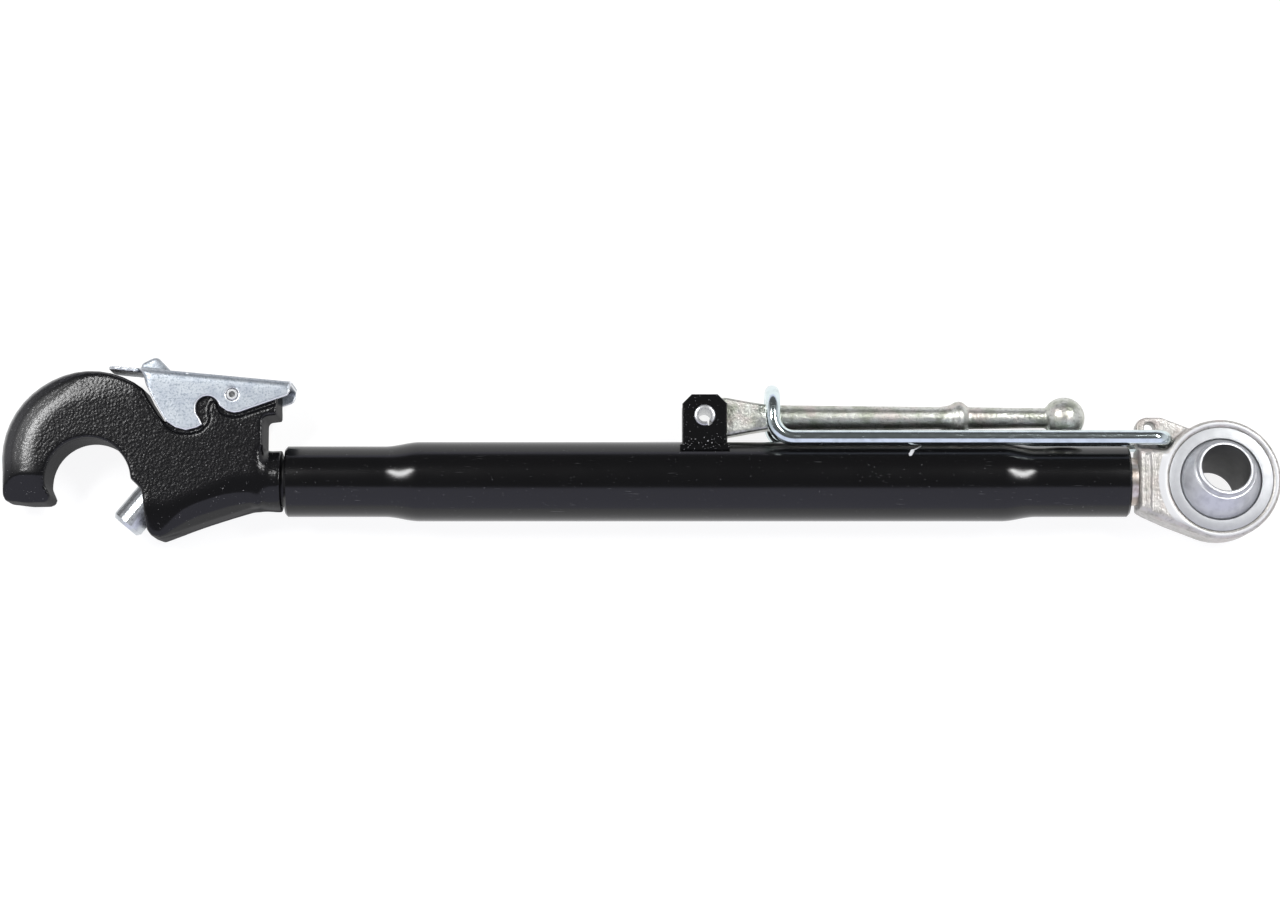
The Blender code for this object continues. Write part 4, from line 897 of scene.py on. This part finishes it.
def eye_zinc(centre):
    """The handle's plated forging, and a paler milled face close round the eye's centre."""
    made = forged_zinc("eye_zinc", EYE_TINTS, EYE_HOLLOWS, 0.44, 0.55)
    shader = made.node_tree.nodes["Principled BSDF"]
    recipe = Finish(made.node_tree.nodes)
    rough_colour = Finish(recipe.nodes, shader.inputs["Base Color"].links[0].from_socket)
    rough_sheen = Finish(recipe.nodes, shader.inputs["Roughness"].links[0].from_socket)
    rough_normal = Finish(recipe.nodes, shader.inputs["Normal"].links[0].from_socket)
    place = recipe.node("ShaderNodeTexCoord", out="Object")
    x = recipe.node("ShaderNodeSeparateXYZ", {}, {0: place}, out="X")
    across, up = x - centre[0], x.other("Y") - centre[1]
    reach = (across * across + up * up).root()
    level = abs(recipe.node("ShaderNodeSeparateXYZ", {}, {0: place.other("Normal")}, out="Z"))
    milled = level.step(0.93, 0.985) * (1 - reach.step(FACE_RADIUS - 0.0006, FACE_RADIUS + 0.0004))
    fine = cloud(place, 1400.0, 2.0)
    tinted(milled, rough_colour, MILLED_GREY).into(shader, "Base Color")
    (rough_sheen * (1 - milled) + milled * (0.42 + fine * 0.1)).into(shader, "Roughness")
    plain_normal = recipe.node("ShaderNodeNewGeometry", out="Normal")
    mixed = {0: milled, 4: rough_normal, 5: plain_normal}
    smooth = recipe.node("ShaderNodeMix", {"data_type": "VECTOR"}, mixed, out=1)
    across = x - NECK_RIDGE + (cloud(place, 90.0, 2.0) - 0.5) * 0.002
    groove = (1 - abs(across - 0.0034).step(0.0003, 0.0020)) * 0.5
    low, high = NECK_SPAN
    ridge = (1 - abs(across).step(0.0004, 0.0026) - groove) * x.other("Y").step(low, low + 0.004)
    ridge = ridge * (1 - x.other("Y").step(high - 0.004, high))
    relief(ridge, RIDGE_DEPTH, shader, onto=smooth)
    return made


def ground_steel(name, centre, tint, sheen):
    """Ground bearing steel: rings of the wheel 0.2 mm apart, a soft haze and a few light scuffs.

    The rings' height is (sin(31000 * reach) + 1) / 2, with the reach from the centre in metres."""
    made, shader, recipe, place = start_finish(name, tint, sheen, 0.55)
    x = recipe.node("ShaderNodeSeparateXYZ", {}, {0: place}, out="X")
    across, up = x - centre[0], x.other("Y") - centre[1]
    wave = (across * across + up * up).root() * WHEEL_RINGS
    rings = wave.math("SINE", wave) * 0.5 + 0.5
    haze = cloud(place, 180.0, 3.0)
    fine = cloud(place, 1700.0, 2.0)
    tinted(haze.step(0.35, 0.7), tint, tuple(0.9 * c for c in tint)).into(shader, "Base Color")
    (haze * 0.12 + fine * 0.08 + (sheen - 0.08)).into(shader, "Roughness")
    relief(rings * 0.5 + fine, 0.000012, shader)
    return made


race_low, race_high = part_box("race_ring_front")
eye_centre = ((race_low.x + race_high.x) / 2, (race_low.y + race_high.y) / 2, axis_z)
eye_mesh = softened("eye_forging", "forged_eye", EYE_GRAIN, 4)
fit(eye_mesh, eye_zinc(eye_centre), "eye", "forged_zinc", "eye_forging")

BALL_RADIUS = 0.030
RACE_OUTER = (race_high.x - race_low.x) / 2
RACE_LIP = RACE_OUTER + 0.0004
RACE_BOWL = BALL_RADIUS + 0.0003
RACE_SPLIT = 0.00015
RACE_FACE = 0.0156

race_half = race_high.z - axis_z
race_steel = ground_steel("race_steel", eye_centre, (0.48, 0.49, 0.50), 0.42)
for name, side, node in (
    ("race_front", 1.0, "race_ring_front"), ("race_rear", -1.0, "race_ring_rear"),
):
    heights = np.linspace(race_half - 0.0004, RACE_SPLIT, 20)
    bowl = np.stack([heights, np.sqrt(RACE_BOWL**2 - heights**2)], axis=1)
    mouth = np.sqrt(RACE_BOWL**2 - race_half**2)
    outside = np.array([
        (RACE_SPLIT, RACE_OUTER), (RACE_FACE - 0.0006, RACE_OUTER), (RACE_FACE - 0.0001, RACE_LIP),
        (RACE_FACE, RACE_LIP - 0.0002), (RACE_FACE, mouth + 0.0003), (RACE_FACE - 0.0004, mouth),
    ])
    ring = np.concatenate([outside, bowl])
    race_points = turned(ring, eye_centre, (0.0, 0.0, side), full_circle(128))
    fit(lay_grid(name, race_points, along_closed=True), race_steel, "eye", "plated_steel", node)

# ---------------------------------------------------------------------------------------------
# Swivel ball. Turned and hardened steel with a collar on each side and a through bore for the
# implement's pin. It turns freely in its race and rests tilted, one collar higher than the other.
# ---------------------------------------------------------------------------------------------
BALL_HALF = 0.0255
COLLAR_RADIUS = 0.0186
BORE_RADIUS = 0.0161
BALL_EDGE = 0.0007
BALL_NECK = 0.0218
BALL_FILLET = 0.0022
FILLET_TURN = 0.09
BALL_TILT = np.radians(16.0)
BALL_HEADING = np.radians(73.0)


def ball_profile():
    """The ball's section: a collar, a hollow fillet cut into the sphere, the sphere, the same
    again at the other side, and the bore."""
    meet = np.arcsin(COLLAR_RADIUS / BALL_RADIUS)
    sweep = np.linspace(meet + FILLET_TURN, np.pi - meet - FILLET_TURN, 60)
    sphere = np.stack([-np.cos(sweep), np.sin(sweep)], axis=1) * BALL_RADIUS
    edge = np.array([(0.0, -1.0), (0.15, -0.45), (0.45, -0.15), (1.0, 0.0)]) * BALL_EDGE
    collar = edge + (-BALL_HALF, COLLAR_RADIUS)
    bend = np.linspace(0.0, np.pi / 2, 9)
    root = np.stack([
        -BALL_NECK + BALL_FILLET * (np.sin(bend) - 1),
        COLLAR_RADIUS - 0.0002 + BALL_FILLET * (1 - np.cos(bend)),
    ], axis=1)
    start = np.concatenate([collar, root])
    finish = start[::-1] * (-1.0, 1.0)
    mouth = np.array([(0.0, 0.0004), (-0.0001, 0.0001), (-0.0004, 0.0)]) + (BALL_HALF, BORE_RADIUS)
    inside = BALL_HALF - 0.003
    bore = np.stack([np.linspace(inside, -inside, 8), np.full(8, BORE_RADIUS)], axis=1)
    return np.concatenate([start, sphere, finish, mouth, bore, mouth[::-1] * (-1.0, 1.0)])


def ball_steel(centre, axis):
    """Satin turned steel, cool grey, with light scuffs; the bore is darker and rougher."""
    made, shader, recipe, place = start_finish("ball_steel", (0.49, 0.50, 0.52), 0.36, 0.7)
    haze = cloud(place, 210.0, 3.0)
    fine = cloud(place, 1900.0, 2.0)
    reach = recipe.node("ShaderNodeVectorMath", {"operation": "SUBTRACT"}, {0: place, 1: centre})
    reach = recipe.node("ShaderNodeVectorMath", {"operation": "CROSS_PRODUCT"}, {0: reach, 1: axis})
    reach = recipe.node("ShaderNodeVectorMath", {"operation": "LENGTH"}, {0: reach}, out="Value")
    bore = 1 - reach.step(BORE_RADIUS + 0.0001, BORE_RADIUS + 0.0005)
    colour = tinted(haze.step(0.4, 0.7), (0.52, 0.53, 0.55), (0.44, 0.45, 0.47))
    tinted(bore, colour, (0.10, 0.10, 0.10)).into(shader, "Base Color")
    (haze * 0.14 + fine * 0.1 + 0.24 + bore * 0.25).into(shader, "Roughness")
    relief(fine + haze * 0.4, 0.00002, shader)
    return made


ball_axis = (
    np.sin(BALL_TILT) * np.cos(BALL_HEADING),
    np.sin(BALL_TILT) * np.sin(BALL_HEADING),
    np.cos(BALL_TILT),
)
ball_points = turned(ball_profile(), eye_centre, ball_axis, full_circle(128))
ball_skin = lay_grid("turned_ball", ball_points, along_closed=True, sharp=30.0)
fit(ball_skin, ball_steel(eye_centre, ball_axis), "ball", "plated_steel", "swivel_ball")

# ---------------------------------------------------------------------------------------------
# Locking bail. Bent from 10 mm bright zinc plated wire: its ends turn into the eye's lug, a leg
# runs along each side of the barrel, and its loop rises over the handle and holds it down.
# ---------------------------------------------------------------------------------------------
WIRE_RADIUS = 0.005
BAIL_BEND = 0.0138
BAIL_RISE = 0.0126
BAIL_END_BEND = 0.0075
BAIL_LEG = 0.0195
BAIL_TIP = 0.00175
BAIL_PIVOT = (0.343895, 0.005182)


def bail_path(reach):
    """One half of the wire's middle line from its end in the lug to the top of the loop: straight
    runs joined by quarter circles, (1 - cos, 1 - sin) times the radius of each bend."""
    turn = np.linspace(0.0, np.pi / 2, 15)
    out = np.linspace(BAIL_TIP, BAIL_LEG - BAIL_END_BEND, 6)
    pin = np.stack([0 * out, 0 * out, out], axis=1)
    inward, outward = 1 - np.cos(turn), 1 - np.sin(turn)
    knee = np.stack([-BAIL_END_BEND * inward, 0 * turn, BAIL_LEG - BAIL_END_BEND * outward], axis=1)
    x = np.linspace(-BAIL_END_BEND, -reach + BAIL_BEND, 60)[1:-1]
    leg = np.stack([x, 0 * x, 0 * x + BAIL_LEG], axis=1)
    rise = np.stack([-reach + BAIL_BEND * outward, BAIL_BEND * inward, 0 * turn + BAIL_LEG], axis=1)
    loop = np.linspace(0.0, np.pi / 2, 25)
    height = BAIL_RISE + BAIL_LEG * np.sin(loop)
    over = np.stack([0 * loop - reach, height, BAIL_LEG * np.cos(loop)], axis=1)
    return np.concatenate([pin, knee[1:], leg, rise, over])


def bright_wire():
    """Bright zinc on drawn wire: nearly a mirror, with the faintest ripple and some fine rubs."""
    made, shader, recipe, place = start_finish("bright_wire", (0.78, 0.81, 0.85), 0.1, 1.0)
    haze = cloud(place, 130.0, 3.0)
    rubs = cloud(stretched(place, (90.0, 1500.0, 1500.0)), 1.0, 1.0).step(0.62, 0.72)
    tinted(haze.step(0.4, 0.75), (0.68, 0.77, 0.78), (0.56, 0.64, 0.65)).into(shader, "Base Color")
    (haze * 0.10 + 0.10 + rubs * 0.12).into(shader, "Roughness")
    relief(cloud(place, 300.0, 2.0), 0.00002, shader)
    return made


bail_pivot = np.array([*BAIL_PIVOT, axis_z])
loop_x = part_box("locking_bail")[0].x + WIRE_RADIUS
half = bail_path(bail_pivot[0] - loop_x) + bail_pivot
other = half[::-1].copy()
other[:, 2] = 2 * axis_z - other[:, 2]
wire = swept_wire("bright_bail", np.concatenate([half, other[1:]]), WIRE_RADIUS, 32, (1, 1, 1))
fit(wire, bright_wire(), "bail", "polished_wire", "locking_bail")
